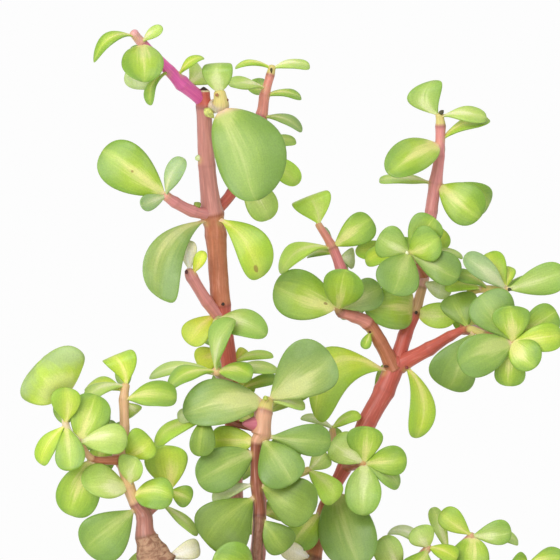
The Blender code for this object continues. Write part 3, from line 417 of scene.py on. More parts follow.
# %% Growth table: right arm of the right stem
add_branches("right_stem", [
    ("right_right_arm", "dddyo",
     [(47.5, 1.8, 112.8, 2.3), (56, -2, 117.3, 2), (62, -4, 121, 1.5), (67, -6, 123, 1.1),
      (72, -9, 121.4, 1), (79.5, -13, 119.3, 0.9)],
     [(5, 64, -17, 112.5, 12, "F", 0.1, 0.08, "q"),
      (5, 78.5, -18, 130, 11, "F", 0.08, 0.1, "m"),
      (5, 70.5, -14, 133, 13.5, "F", 0.08, 0.1, "q"),
      (5, 94, -15, 121.2, 8.4, "F", 0.1, 0.1, "b"),
      (5, 86.2, -17, 112.2, 9.6, "F", 0.1, 0.1, "m"),
      (5, 92, -9, 128, 9.5, "F", 0.1, 0.1, "m"),
      (5, 78.5, -12, 106.5, 9, "F", 0.1, 0.1, "m"),
      (3.4, 60.3, -7, 105.8, 14, "F", 0.1, 0.08, "q"),
      (3, 63.4, -2, 133, 11, "F", 0.1, 0.1, "d"),
      (0.25, 51.9, -5, 91.5, 8.8, "FFR", 0.12, 0.12, "b")]),
    ("right_upper_twig", "oyyy",
     [(66, -5.6, 122.4, 1.2), (66, 1, 128, 1.2), (68, 3, 133.5, 1.2), (73, 2, 134.5, 1.1),
      (78, 0, 134.3, 1)],
     [(4, 65.5, -4, 144, 7.2, "FFU", 0.1, 0.1, "g"),
      (4, 95, -5, 139.2, 9.3, "F", 0.1, 0.1, "f"),
      (4, 73, 6, 145, 7, "F", 0.1, 0.1, "b"),
      (3.9, 78.3, 2, 141.5, 5.5, "F", 0.1, 0.1, "b"),
      (3, 62.5, -2, 138.5, 5.5, "FU", 0.1, 0.1, "m"),
      (3, 60.5, 5, 135, 5.5, "FU", 0.1, 0.1, "u"),
      (4, 84, 14, 136, 8, "KU", 0.1, 0.1, "m")]),
    ("right_rear", "rr",
     [(67, -6, 122.8, 1.2), (69, 3, 123, 1.2), (73, 12, 122, 1.1)],
     [(2, 64, 20, 128, 9, "K", 0.1, 0.1, "m"),
      (2, 81, 20, 128, 9, "K", 0.1, 0.1, "m"),
      (2, 74, 20, 112, 9, "K", 0.1, 0.1, "m"),
      (2, 87, 16, 120, 9, "KR", 0.1, 0.1, "m")]),
])

# %% Growth table: low shoots of the right stem
add_branches("right_stem", [
    ("low_rosette", "oo",
     [(31.5, -1, 83, 1.7), (34, -6, 84, 1.6), (37, -13, 84.3, 1.4)],
     [(2, 36.5, -20, 70, 10.6, "F", 0.1, 0.05, "f"),
      (2, 37.5, -17, 95.4, 10.5, "F", 0.05, 0.15, "m"),
      (2, 28.3, -17, 90.8, 10, "F", 0.1, 0.05, "h"),
      (2, 49.2, -16, 85.7, 8.8, "F", 0.08, 0.15, "m"),
      (2, 47, -12, 77.5, 7.5, "FU", 0.15, 0.1, "f")]),
    ("right_back_twig", "ee",
     [(31.5, -1, 83, 1.1), (29, 1, 88, 1), (28, 1, 94.3, 0.9)],
     [(2, 19, 0, 97.8, 5.5, "UUF", 0.08, 0.1, "p"),
      (2, 36, 0, 98.5, 4.8, "FU", 0.1, 0.1, "u"),
      (1, 30, 14, 92, 7, "KL", 0.1, 0.1, "m")]),
])

# %% [markdown]
# ### Low right stem
# A thin, pale shoot arches out low on the right.  Its leaves are small, because it grows in
# the shade of the rest.

# %% Growth table: low right stem
add_branches("low_right_stem", [
    ("low_right", "kkrrr",
     [(19, 10, -14, 2.7), (19.5, 10, 3, 2.7), (27, 8, 20, 2.3), (38, 3, 38, 1.9),
      (48, 0, 51, 1.6), (55.8, -1, 59.8, 1.2)],
     [(5, 44.5, 0, 65.6, 7.4, "UUF", 0.1, 0.1, "p"),
      (5, 52.6, -5, 66, 8, "F", 0.1, 0.1, "h"),
      (5, 64, -4, 56.8, 7, "FU", 0.1, 0.1, "b"),
      (5, 50, -9, 50, 10, "F", 0.1, 0.1, "m"),
      (4, 42.5, -7, 62.5, 8.6, "F", 0.1, 0.1, "h"),
      (4, 60, -6, 49, 10, "FU", 0.1, 0.1, "m"),
      (3, 36, -8, 46, 10, "F", 0.1, 0.1, "m"),
      (3, 32, 14, 48, 10, "K", 0.1, 0.1, "m"),
      (2, 30, -6, 22, 9, "FU", 0.1, 0.1, "m")]),
    ("low_right_tip", "rrr",
     [(38, 3, 38, 1.6), (52, 7, 48, 1.5), (62, 8, 57, 1.4), (68.5, 8, 63, 1.2)],
     [(3, 59.5, 6, 70, 7, "F", 0.1, 0.1, "b"),
      (3, 79.8, 6, 64.6, 7.4, "F", 0.1, 0.1, "f"),
      (3, 82.3, 12, 61.6, 6, "UF", 0.1, 0.1, "h"),
      (3, 68, 2, 51.5, 11, "F", 0.1, 0.1, "m"),
      (2, 57, 12, 71.5, 4.5, "F", 0.1, 0.1, "h"),
      (2, 62, 22, 56, 6, "K", 0.1, 0.1, "m")]),
    ("low_right_end", "rrr",
     [(46, 5, 43.5, 1.5), (62, 13, 48, 1.3), (76, 15, 51, 1.2), (84, 14, 54, 1)],
     [(3, 80, 8, 55.2, 8, "F", 0.1, 0.1, "m"),
      (3, 95, 10, 57, 8, "FU", 0.1, 0.1, "m"),
      (3, 92, 18, 50, 8, "FU", 0.1, 0.1, "m"),
      (2, 74, 28, 52, 9, "KU", 0.1, 0.1, "m"),
      (2, 76, 6, 42, 9, "FU", 0.1, 0.1, "m"),
      (1, 58, 24, 44, 9, "KU", 0.1, 0.1, "m")]),
])

# %% [markdown]
# ### Left stem
# The left stem is the oldest wood, tan, ringed and wrinkled.  It forks into an upright shoot
# and one that leans out to the left.  The letter w, for wood, gives it its cork and its rings.

# %% Growth table: left stem
add_branches("left_stem", [
    ("left", "wwwwnnee",
     [(-6, -2, -14, 4.7), (-7, -2, 3, 4.6), (-13, -3, 28, 4.4), (-22.6, -4, 57, 4.7),
      (-25.3, -4, 64.3, 3), (-25.8, -4, 70, 2.4), (-28, -4, 73.5, 1.9), (-30, -4, 78, 1.7),
      (-32, -4, 86, 1.9)],
     [(5.8, -42, -9, 60, 14.5, "F", 0.06, 0.1, "q"),
      (7, -42.7, -14, 79.5, 11.5, "FFU", 0.08, 0.1, "h"),
      (8, -24, -5, 92.5, 10, "F", 0.1, 0.1, "b"),
      (6.6, -18, -11, 76, 10.5, "FFU", 0.1, 0.05, "m"),
      (7, -27.8, -10, 87, 9.2, "FFL", 0.08, 0.3, "h"),
      (3, -9.4, 3, 61.3, 5.8, "F", 0.05, 0.1, "c"),
      (2.4, -30, -14, 50, 12, "FU", 0.1, 0.1, "m"),
      (2, -28, 6, 36, 11, "LU", 0.1, 0.1, "m"),
      (1.7, -14, -22, 30, 11, "FU", 0.1, 0.1, "m")]),
    ("left_up", "eeee",
     [(-32, -4, 86, 1.7), (-31.5, -3, 90, 1.5), (-31.3, -2, 95, 1.4), (-31.5, -1, 103, 1.4),
      (-31, 0, 107, 1.2)],
     [(4, -35.2, -2, 117.4, 9.2, "F", 0.05, 0.15, "b"),
      (4, -42.5, -4, 103.5, 7, "FUU", 0.1, 0.1, "h"),
      (3, -16.5, -4, 104, 11.5, "FU", 0.1, 0.1, "m"),
      (3.5, -42.5, 6, 107, 6.5, "FU", 0.1, 0.1, "b"),
      (3, -28.2, 3, 98.6, 5.5, "F", 0.1, 0.1, "h"),
      (1.5, -38, 16, 92.5, 8, "K", 0.1, 0.1, "m"),
      (4, -32, 18, 114, 5, "K", 0.1, 0.1, "m")]),
    ("left_out", "oecc",
     [(-32, -4, 86, 1.6), (-40, -7, 86.3, 1), (-44, -8, 91, 1), (-47.8, -8, 96, 1),
      (-47.6, -5, 105.2, 0.9)],
     [(4, -54.8, -13, 113.4, 21.4, "F", 0.05, 0.12, "v"),
      (3, -48, -12, 106.5, 8.6, "F", 0.05, 0.15, "b"),
      (2, -30.5, -12, 92, 10, "FFU", 0.08, 0.1, "h"),
      (2, -39.2, -5, 104.4, 11.4, "F", 0.05, 0.1, "m"),
      (3, -46.2, -14, 83.2, 8.6, "F", 0.06, 0.12, "m"),
      (1, -46.5, -3, 70.3, 12.5, "F", 0.06, 0.1, "m"),
      (3, -54.9, -8, 84.8, 8, "FL", 0.1, 0.2, "b"),
      (3, -49.6, 5, 103.5, 6, "K", 0.1, 0.1, "m")]),
])

# %% Growth table: rear and foot of the left stem
add_branches("left_stem", [
    ("left_rear", "rr",
     [(-32, -4, 85, 1.4), (-35, 5, 90, 1.3), (-37, 12, 94, 1.1)],
     [(2, -42, 20, 100, 9, "K", 0.1, 0.1, "m"),
      (2, -39, 18, 81.5, 8, "K", 0.1, 0.1, "m"),
      (2, -27.5, 18, 89.5, 7, "K", 0.1, 0.1, "m"),
      (2, -45, 18, 92, 9, "K", 0.1, 0.1, "m")]),
    ("left_side_twig", "wrry",
     [(-20, -3, 46, 1.8), (-24.5, 3.5, 62, 1.4), (-25.5, 3.5, 69, 1.3), (-21.5, 3.5, 73.6, 1.2),
      (-18.5, 3, 77, 1.2)],
     [(4, -20, 0, 90.7, 12.5, "F", 0.05, 0.1, "b"),
      (4, -12.3, 2, 74.3, 6.5, "F", 0.1, 0.1, "m"),
      (3, -10.5, 1, 64.5, 5.5, "RUF", 0.05, 0.1, "h"),
      (3, -24, 18, 78, 9, "K", 0.1, 0.1, "m"),
      (1, -30, 16, 50, 7, "K", 0.1, 0.1, "m")]),
    ("left_foot", "ww",
     [(-10, -3, 20, 1.5), (-21, -10, 30, 1.4), (-31, -14, 38, 1.1)],
     [(2, -44, -20, 45, 11, "FU", 0.1, 0.1, "m"),
      (2, -30, -26, 46, 10, "FU", 0.1, 0.1, "m"),
      (2, -38, -4, 46, 10, "U", 0.1, 0.1, "m"),
      (1, -24, -22, 28, 9, "FU", 0.1, 0.1, "m")]),
])

# %% [markdown]
# ### Back stem
# A plain stem behind the others makes the bush whole from every side.  All its leaves
# face back, since leaves turn to the light on their own side.

# %% Growth table: back stem
add_branches("back_stem", [
    ("back", "kkrrr",
     [(1, 19, -14, 3.1), (1, 19, 3, 3), (4, 22, 30, 2.6), (6.5, 24, 58, 2.2), (7.5, 25, 84, 1.8),
      (8, 26, 98, 1.3)],
     [(3.4, 20, 34, 74, 11, "K", 0.1, 0.1, "m"),
      (3.4, 1, 35, 68, 11, "K", 0.1, 0.1, "m"),
      (4, 18, 37, 89, 10, "K", 0.1, 0.1, "m"),
      (4, -3, 34, 84, 11, "K", 0.1, 0.1, "m"),
      (5, 26, 35, 111, 8, "K", 0.1, 0.1, "m"),
      (4.6, -4, 34, 102, 9, "K", 0.1, 0.1, "m"),
      (5, 20, 34, 114, 8, "K", 0.1, 0.1, "m"),
      (5, 0, 28, 103, 7, "KU", 0.1, 0.1, "m"),
      (2.4, -10, 32, 46, 11, "K", 0.1, 0.1, "m"),
      (2.4, 18, 36, 46, 11, "K", 0.1, 0.1, "m"),
      (2, 10, 40, 36, 10, "KU", 0.1, 0.1, "m"),
      (1.6, -6, 34, 26, 10, "KU", 0.1, 0.1, "m")]),
])

# %% [markdown]
# ## Where each leaf sits
# The solids were grown by a rule: a leaf grows from its joint to its tip, and one that would
# touch what already grows there swings aside in depth.  To land in the same places, the fine
# leaves are grown by the same rule with the same plain shapes.  So this part works with simple
# tubes and a few flat facets for each leaf, and none of them are ever shown.

# %% Places on the plant
POT_HEIGHT, POT_RIM_DEPTH = 92.0, 10.0
PLANT_FOOT = Vector((-5.0, 0.0, POT_HEIGHT - POT_RIM_DEPTH))
SWAY_ACROSS, SWAY_UP = 20.0, 9.0        # millimetres
SWAY_FULL_AT = 40.0                     # millimetres up, by where the sway has come in fully
FACING = {
    "F": Vector((0, -1, 0)), "K": Vector((0, 1, 0)), "U": Vector((0, 0, 1)),
    "D": Vector((0, 0, -1)), "L": Vector((-1, 0, 0)), "R": Vector((1, 0, 0)),
}


def sway(x, z):
    """How far the crown stands behind the table's y here, so that the plant is no flat fan."""
    risen = min(max(z / SWAY_FULL_AT, 0), 1)
    return risen * (SWAY_ACROSS * math.sin((x - 5) / 30) + SWAY_UP * math.sin(z / 50))


def plant_point(x, y, z, at=None):
    """A place on the plant in metres, from millimetres at the tall stem's foot."""
    x_at, z_at = at or (x, z)
    return (PLANT_FOOT + Vector((x, y + sway(x_at, z_at), z))) * MM


def smooth_point(points, place):
    """The point at `place` joints along the smooth curve through `points`."""
    first = min(int(place), len(points) - 2)
    t = place - first
    before = points[max(first - 1, 0)]
    start, end = points[first], points[first + 1]
    after = points[min(first + 2, len(points) - 1)]
    tangent_in = (end - before) / 2
    tangent_out = (after - start) / 2
    return (start * (2 * t**3 - 3 * t**2 + 1) + tangent_in * (t**3 - 2 * t**2 + t)
            + end * (3 * t**2 - 2 * t**3) + tangent_out * (t**3 - t**2))


joint_heights = [plant_point(*joint[:3]).z / MM for branches in STEMS.values()
                 for _, _, joints, _ in branches for joint in joints]
print("joints:", len(joint_heights), "and the highest at", round(max(joint_heights)), "mm")

# %% A skin over rings of points
def loft(rings, start, end):
    """Closed mesh over equal rings of points, drawn together to a point at both ends."""
    sides = len(rings[0])
    verts = [start] + [point for ring in rings for point in ring] + [end]
    faces = []
    for i in range(sides):
        j = (i + 1) % sides
        faces.append((0, 1 + j, 1 + i))
        for k in range(len(rings) - 1):
            low, high = 1 + k * sides, 1 + (k + 1) * sides
            faces.append((low + i, low + j, high + j, high + i))
        last = 1 + (len(rings) - 1) * sides
        faces.append((last + i, last + j, len(verts) - 1))
    return verts, faces


print("a skin over two rings of three has", len(loft([[0] * 3] * 2, 0, 0)[1]), "faces")

# %% Directions along a tube
def tube_frames(centres):
    """At each centre, the direction of the tube and two directions across it, without twist."""
    frames = []
    across = None
    for i in range(len(centres)):
        along = (centres[min(i + 1, len(centres) - 1)] - centres[max(i - 1, 0)]).normalized()
        across = across or along.orthogonal()
        across = (across - along * across.dot(along)).normalized()
        frames.append((along, across, along.cross(across)))
    return frames


upright = tube_frames([Vector((0, 0, 0)), Vector((0, 0, 1))])
print("an upright tube:", upright[0][0].to_tuple(1), "across it:", upright[0][1].to_tuple(2))

# %% Plain tube
TRUNK_SIDES, TWIG_SIDES = 8, 6
TRUNK_RADIUS = 2                        # a stem that starts thicker than this is a trunk
TUBE_STEP = 11.0                        # millimetres between the rings of a plain tube
WAIST = 0.08                            # how much a stretch thins halfway between its joints
FOOT_REACH, TIP_REACH = 0.1, 0.8        # radii from the end rings to the points that close them


def plain_tube(joints):
    """A stem's bark as the solids have it: a tapering tube, a little waisted between joints."""
    sides = TRUNK_SIDES if joints[0][3] > TRUNK_RADIUS else TWIG_SIDES
    points = [plant_point(*joint[:3]) for joint in joints]
    radii = [joint[3] * MM for joint in joints]
    places = []
    for i in range(len(points) - 1):
        pieces = max(1, round((points[i + 1] - points[i]).length / (TUBE_STEP * MM)))
        places += [i + k / pieces for k in range(pieces)]
    places.append(len(points) - 1)
    centres = [smooth_point(points, place) for place in places]
    rings = []
    for place, centre, (along, across, other) in zip(places, centres, tube_frames(centres)):
        first = min(int(place), len(radii) - 2)
        share = place - first
        radius = radii[first] * (1 - share) + radii[first + 1] * share
        radius *= 1 - WAIST * math.sin(math.pi * share)
        turns = [2 * math.pi * k / sides for k in range(sides)]
        rings.append([centre + (across * math.cos(a) + other * math.sin(a)) * radius
                      for a in turns])
    end = centres[-1] + along * radii[-1] * TIP_REACH
    start = centres[0] - (centres[1] - centres[0]).normalized() * radii[0] * FOOT_REACH
    return loft(rings, start, end)


trunk_joints = STEMS["tall_centre_stem"][0][2]
print("the plain trunk has", len(plain_tube(trunk_joints)[1]), "faces")

# %% Plain leaf
LEAF_WEDGE, LEAF_ROUND = 0.85, 0.42     # how a leaf widens from its foot, and rounds at its tip
THIN, THICKENING = 0.45, 0.055          # half thickness: millimetres, and more for each of width


def half_width(u, wedge=LEAF_WEDGE, blunt=LEAF_ROUND):
    """Half width of a leaf at `u` of its length, 1 at its widest: an inverted egg."""
    widest = wedge / (wedge + blunt)
    most = widest ** wedge * (1 - widest) ** blunt
    return u ** wedge * (1 - u) ** blunt / most


def plain_leaf(base, tip, width, face, arch, fold, rings, across, grow):
    """A leaf as the solids have it: a few flat facets, arched and folded towards `face`."""
    axis = tip - base
    length = axis.length
    axis.normalize()
    normal = (face - axis * face.dot(axis)).normalized()
    side = axis.cross(normal)
    thick = (THIN + THICKENING * width / MM) * MM + grow
    upper = sorted({-v for v in across} | set(across))
    section = [(-1.0, 0.0)] + [(v, 1.0) for v in upper] + [(1.0, 0.0)]
    section += [(v, -1.0) for v in reversed(upper)]
    loops = []
    for k in range(rings):
        u = 0.5 - 0.5 * math.cos(math.pi * (k + 0.75) / (rings + 0.4))
        half = half_width(u) * width / 2 + grow
        deep = thick * (0.55 + 0.45 * math.sin(math.pi * min(u * 1.15, 1.0)))
        middle = base + axis * length * u + normal * arch * length * 4 * u * (1 - u)
        loops.append([middle + side * half * v + normal * (half * fold * abs(v)
                      + sign * deep * math.sqrt(1 - v * v)) for v, sign in section])
    return loft(loops, base, tip + axis * grow)


example = plain_leaf(Vector(), Vector((0, 0, 20 * MM)), 10 * MM, FACING["F"], 0, 0, 4, (0.5,), 0)
print("a plain leaf has", len(example[1]), "faces")

# %% One leaf of the table
GAP = 0.3                               # clearance that the solids keep, millimetres
SEAT = GAP + 0.05                       # how far a leaf of its own stands off the bark
SINK = 0.6                              # how deep a leaf that is joined to its stem goes in


class Leaf:
    """One leaf of the table: where it grows from, where it points and how it faces."""

    def __init__(self, stem, branch, number, joints, row):
        self.stem = stem
        self.name = f"{branch}_leaf_{number}"
        self.node = f"leaf_{branch}_{number}"
        points = [plant_point(*joint[:3]) for joint in joints]
        self.joint = smooth_point(points, row[0])
        foot = joints[int(row[0])]
        self.tip = plant_point(*row[1:4], at=(foot[0], foot[2]))
        self.width = row[4] * MM
        self.face = sum((FACING[letter] for letter in row[5]), Vector()).normalized()
        self.arch, self.fold, self.tone = row[6:9]
        self.length = (self.tip - self.joint).length
        self.own_piece = False

    def swing(self, angle, bark):
        """Turn about the joint, into the depth of the plant, and seat the base on the bark."""
        reach = self.tip - self.joint
        hinge = reach.cross(Vector((0, 1, 0))).normalized()
        turn = Matrix.Rotation(angle, 3, hinge)
        tip = self.joint + turn @ reach
        inward = (self.joint - tip).normalized()
        hit = bark.ray_cast(tip, inward)[0]
        base = self.joint if hit is None else hit
        if self.own_piece:
            base = base - inward * SEAT * MM
        else:
            base = base + inward * SINK * MM
        return base, tip, turn @ self.face

    def shape(self, pose, grow=0.0):
        """The plain leaf at a pose, swollen by `grow` all round."""
        base, tip, face = pose
        rings, across = (4, (0.5,)) if self.own_piece else (3, (0.0,))
        return plain_leaf(base, tip, self.width, face, self.arch, self.fold, rings, across, grow)


print("a leaf of its own stands", round(SEAT, 2), "mm off the bark")

# %% What a leaf would touch
BLADE_FROM = 0.3                        # from here to its tip a leaf keeps clear of its own stem
NEAR_ENOUGH = 0.8                       # leaves whose middles lie further apart cannot touch


def tree_of(shape):
    """The faces of a shape, sorted in space so that touching ones are found quickly."""
    return BVHTree.FromPolygons([tuple(v) for v in shape[0]], shape[1])


def merged(shapes):
    """Several closed shapes as one list of corners and faces."""
    verts, faces = [], []
    for shape_verts, shape_faces in shapes:
        faces += [tuple(i + len(verts) for i in face) for face in shape_faces]
        verts += [tuple(v) for v in shape_verts]
    return verts, faces


def touches(leaf, pose, placed, barks):
    """Whether a leaf so posed comes within the gap of another piece or a leaf grown earlier."""
    whole = tree_of(leaf.shape(pose, grow=GAP * MM))
    for stem, bark in barks.items():
        if (stem != leaf.stem or leaf.own_piece) and whole.overlap(bark):
            return True
    blade = whole
    if not leaf.own_piece:
        blade_pose = (pose[0].lerp(pose[1], BLADE_FROM), *pose[1:])
        blade = tree_of(leaf.shape(blade_pose, grow=GAP * MM))
    middle = (pose[0] + pose[1]) / 2
    for other, centre, tree in placed:
        if (centre - middle).length > NEAR_ENOUGH * (leaf.length + other.length):
            continue
        same_body = other.stem == leaf.stem and not (other.own_piece or leaf.own_piece)
        if (blade if same_body else whole).overlap(tree):
            return True
    return False


barks = {}
for stem, branches in STEMS.items():
    tubes = [plain_tube(joints) for _, _, joints, _ in branches]
    barks[stem] = tree_of(merged(tubes))
print("stems to keep clear of:", len(barks))

# %% Grow the leaves into place
LEAF_NODES = 50                         # the longest leaves are solids of their own
SWING_STEP = math.radians(7.0)
SWING_STEPS = 9


def place_leaves(leaves, barks):
    """Seat every leaf; one that would touch what already grows there swings aside in depth."""
    swings = sorted((k * SWING_STEP for k in range(-SWING_STEPS, SWING_STEPS + 1)), key=abs)
    placed = []
    for leaf in leaves:
        for angle in swings:
            leaf.pose = leaf.swing(angle, barks[leaf.stem])
            if not touches(leaf, leaf.pose, placed, barks):
                middle = (leaf.pose[0] + leaf.pose[1]) / 2
                placed.append((leaf, middle, tree_of(leaf.shape(leaf.pose))))
                break
    return [leaf for leaf, _, _ in placed]


leaves = [Leaf(stem, branch, n + 1, joints, row) for stem, branches in STEMS.items()
          for branch, _, joints, rows in branches for n, row in enumerate(rows)]
for leaf in sorted(leaves, key=lambda leaf: -leaf.length)[:LEAF_NODES]:
    leaf.own_piece = True
leaves = place_leaves(leaves, barks)
unmatched = [leaf.node for leaf in leaves if leaf.own_piece and leaf.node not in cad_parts]
print("leaves in place:", len(leaves), "with no node of their name:", unmatched)

# %% [markdown]
# ## Leaf skin
# The leaf is water-filled tissue under a waxy skin.  The wax gives a broad, soft gloss, and the
# tissue lets light through, so the leaf glows a little.  The variegation lies in the tissue: a
# cream heart that runs up from the stalk and frays into the green along the veins.
#
# The pattern follows the leaf and not the room, so each leaf carries its own map: how far along
# it a point lies, and how far across.  The shader draws the heart, the glow around it, the
# thin rim, clear of pale tissue and darker, partly in painted shade, and the rose stalk from
# those two numbers, and each leaf brings its own colours.

# %% Leaf tones
# A tone is the colour of the margin, of the glow beside the heart, and of the heart; then how
# wide the heart is as a share of the half width, and how strong the grey wax patches are, which
# are bloom and painted sheen.  Leaves deep in the shade of others often take a lighter tone than
# their own, which is painted light.
TONES = {
    "m": ("#80A437", "#A9C344", "#D8D883", 0.34, 0.15),    # the usual green
    "b": ("#9BBC37", "#BDCF44", "#DFDD7F", 0.26, 0.10),    # young, bright yellow-green
    "y": ("#B9CB39", "#D0D74B", "#E5DB79", 0.34, 0.05),    # lit through, nearly yellow
    "u": ("#B4D84E", "#C6E05E", "#DDE68C", 0.34, 0.05),    # lit through, bright lime
    "h": ("#A6C25A", "#C0D272", "#DFE2A6", 0.44, 0.12),    # light lime
    "p": ("#BFD08C", "#D4DFA6", "#EBEFCC", 0.50, 0.10),    # pale
    "v": ("#A6BC72", "#BCD64A", "#D8E47C", 0.70, 0.20),    # grey rim round a lime middle
    "g": ("#8CA96E", "#A9BE80", "#CFD5A4", 0.34, 0.35),    # blue-green under its wax, a painted sheen
    "s": ("#7D9A4F", "#9CB05D", "#C7CC85", 0.38, 0.20),    # grey-green, a painted sheen
    "f": ("#8BAD49", "#A9C161", "#D0D997", 0.40, 0.10),    # green round a wide pale heart
    "q": ("#739341", "#8CA749", "#B0BD6B", 0.22, 0.08),    # full green, the largest leaf
    "d": ("#6C872F", "#849D3A", "#A5B653", 0.16, 0.08),    # dark green, painted shade
    "c": ("#E0DAB4", "#EAE4CA", "#F4F0E2", 0.40, 0.05),    # withered to cream
}
print("leaf tones:", len(TONES))

# %% [markdown]
# ### The nodes that do most of the work
# Three kinds of node carry these patterns.  Math adds and multiplies numbers.  Map Range turns a
# slice of a number into a share from 0 to 1, eased at both ends.  Mix goes from one colour to
# another by such a share.  So each look below is a row of small steps, one node at a time.

# %% Leaf material: settings that return
SMOOTH = {"interpolation_type": "SMOOTHSTEP"}    # for a Map Range that eases at both ends
PAINT = {"data_type": "RGBA"}                    # for a Mix: share at 0, colours at 6 and 7


def shaded(tree, colour, value):
    """The colour made lighter or darker by a number."""
    grey = add_node(tree, "CombineXYZ", (value, value, value))
    return add_node(tree, "Mix", {0: 1.0, 6: colour, 7: grey}, blend_type="MULTIPLY", **PAINT)


print("settings of Map Range:", SMOOTH, "and of Mix:", PAINT)

# %% [markdown]
# ### Heart, glow and margin
# Veins run from the stalk and fan out, so noise that is stretched along the leaf frays the
# heart the way they do.  The heart is widest at the stalk and closes before the tip.  Between
# it and the green margin lies a soft glow, where pale tissue shows through green.

# %% Leaf material: heart, glow and margin
GLOW_REACH = 0.90                       # half widths from the heart's edge out to the margin


def variegated(tree, read, along, across, heart_width, seed):
    """The colour of the tissue, and the noise that frays it along the veins."""
    lean = read["lean"].outputs["Fac"]
    off_middle = add_node(tree, "Math", (across, lean), operation="SUBTRACT")
    aside = add_node(tree, "Math", (off_middle,), operation="ABSOLUTE")
    fanned = add_node(tree, "Math", (across, 5.0), operation="MULTIPLY")
    drawn_out = add_node(tree, "Math", (along, 0.9), operation="MULTIPLY")
    fan = add_node(tree, "CombineXYZ", (fanned, drawn_out, seed))
    fray = add_node(tree, "TexNoise",
                    {"Vector": fan, "Scale": 1.6, "Detail": 4.0, "Roughness": 0.65})
    centred = add_node(tree, "Math", (fray, 0.5), operation="SUBTRACT")
    frayed = add_node(tree, "Math", (centred, 0.9), operation="MULTIPLY")
    reach = add_node(tree, "MapRange", (along, 0.30, 0.98, 1.0, -0.35), **SMOOTH)
    blade_width = add_node(tree, "Math", (heart_width, reach), operation="MULTIPLY")
    stalk_width = add_node(tree, "MapRange", (along, 0.24, 0.02, 0.0, 0.6), **SMOOTH)
    width = add_node(tree, "Math", (blade_width, stalk_width), operation="ADD")
    frayed_width = add_node(tree, "Math", (width, frayed), operation="ADD")
    inside = add_node(tree, "Math", (frayed_width, aside), operation="SUBTRACT")
    margin, glow, heart = (read[name].outputs["Color"] for name in ("margin", "glow", "heart"))
    in_glow = add_node(tree, "MapRange", (inside, -GLOW_REACH, 0.0), **SMOOTH)
    colour = add_node(tree, "Mix", {0: in_glow, 6: margin, 7: glow}, **PAINT)
    in_heart = add_node(tree, "MapRange", (inside, -0.20, 0.32), **SMOOTH)
    colour = add_node(tree, "Mix", {0: in_heart, 6: colour, 7: heart}, **PAINT)
    return colour, fray


print("the glow reaches", GLOW_REACH, "of a half width beyond the heart")

# %% [markdown]
# ### Wax and cells
# The wax lies on the leaf in soft grey patches: its bloom, with painted sheen where it would
# shine back the bright room.  The cells under it are never quite even, which shows as a fine
# mottle.  The rim has no pale tissue and is drawn darker, partly its own green and partly
# painted shade where the round edge turns away.  The stalk takes the stem's rose.

# %% Leaf material: wax, cells, rim and stalk
# The grey of the wax patches is bloom and painted sheen; the rim colour is partly painted shade.
BLOOM_AND_SHEEN = "#A9BF90"
RIM_GREEN_AND_SHADE = "#6E8E3C"
STALK = "#E3BFA0"
SKIN_CELL = 0.35 * MM                   # real cells are ten times finer and would not show
BLOOM_AND_SHEEN_PATCH = 7.0 * MM


def under_wax(tree, colour, along, rim, bloom_and_sheen):
    """Skin colour: wax noise (bloom and painted sheen), cell noise, rim partly in painted shade.
    """
    spot = add_node(tree, "TexCoord").outputs["Object"]
    # Grey wax patches: the wax's bloom, and painted sheen of the bright room.
    patches = add_node(tree, "TexNoise",
                       {"Vector": spot, "Scale": 1 / BLOOM_AND_SHEEN_PATCH, "Detail": 2.0})
    patchy = add_node(tree, "MapRange", (patches, 0.38, 0.66), **SMOOTH)
    bloom_and_sheen_share = add_node(tree, "Math", (patchy, bloom_and_sheen), operation="MULTIPLY")
    colour = add_node(tree, "Mix", {0: bloom_and_sheen_share, 6: colour, 7: linear(BLOOM_AND_SHEEN)}, **PAINT)
    cells = add_node(tree, "TexNoise", {"Vector": spot, "Scale": 1 / SKIN_CELL, "Detail": 3.0})
    mottle = add_node(tree, "MapRange", (cells, 0.25, 0.75, 0.90, 1.08), **SMOOTH)
    colour = shaded(tree, colour, mottle)
    # A darker rim: partly the margin's own green, partly painted shade where the round edge turns
    # away.
    near_rim = add_node(tree, "MapRange", (rim, 0.86, 1.0), **SMOOTH)
    rim_and_shade_share = add_node(tree, "Math", (near_rim, 0.38), operation="MULTIPLY")
    colour = add_node(tree, "Mix", {0: rim_and_shade_share, 6: colour, 7: linear(RIM_GREEN_AND_SHADE)}, **PAINT)
    near_stalk = add_node(tree, "MapRange", (along, 0.10, 0.0), **SMOOTH)
    colour = add_node(tree, "Mix", {0: near_stalk, 6: colour, 7: linear(STALK)}, **PAINT)
    return colour, patches, cells


print("wax patches", round(BLOOM_AND_SHEEN_PATCH / MM, 2), "mm, skin cells", round(SKIN_CELL / MM, 2), "mm")

# %% [markdown]
# ### Blemish
# A few leaves carry a small brown mark, where something once rubbed or burnt them.  It is drawn
# as a soft disc in the leaf's own map, so the same material serves marked and unmarked leaves.

# %% Leaf material: blemish
BLEMISH = "#8A6A34"


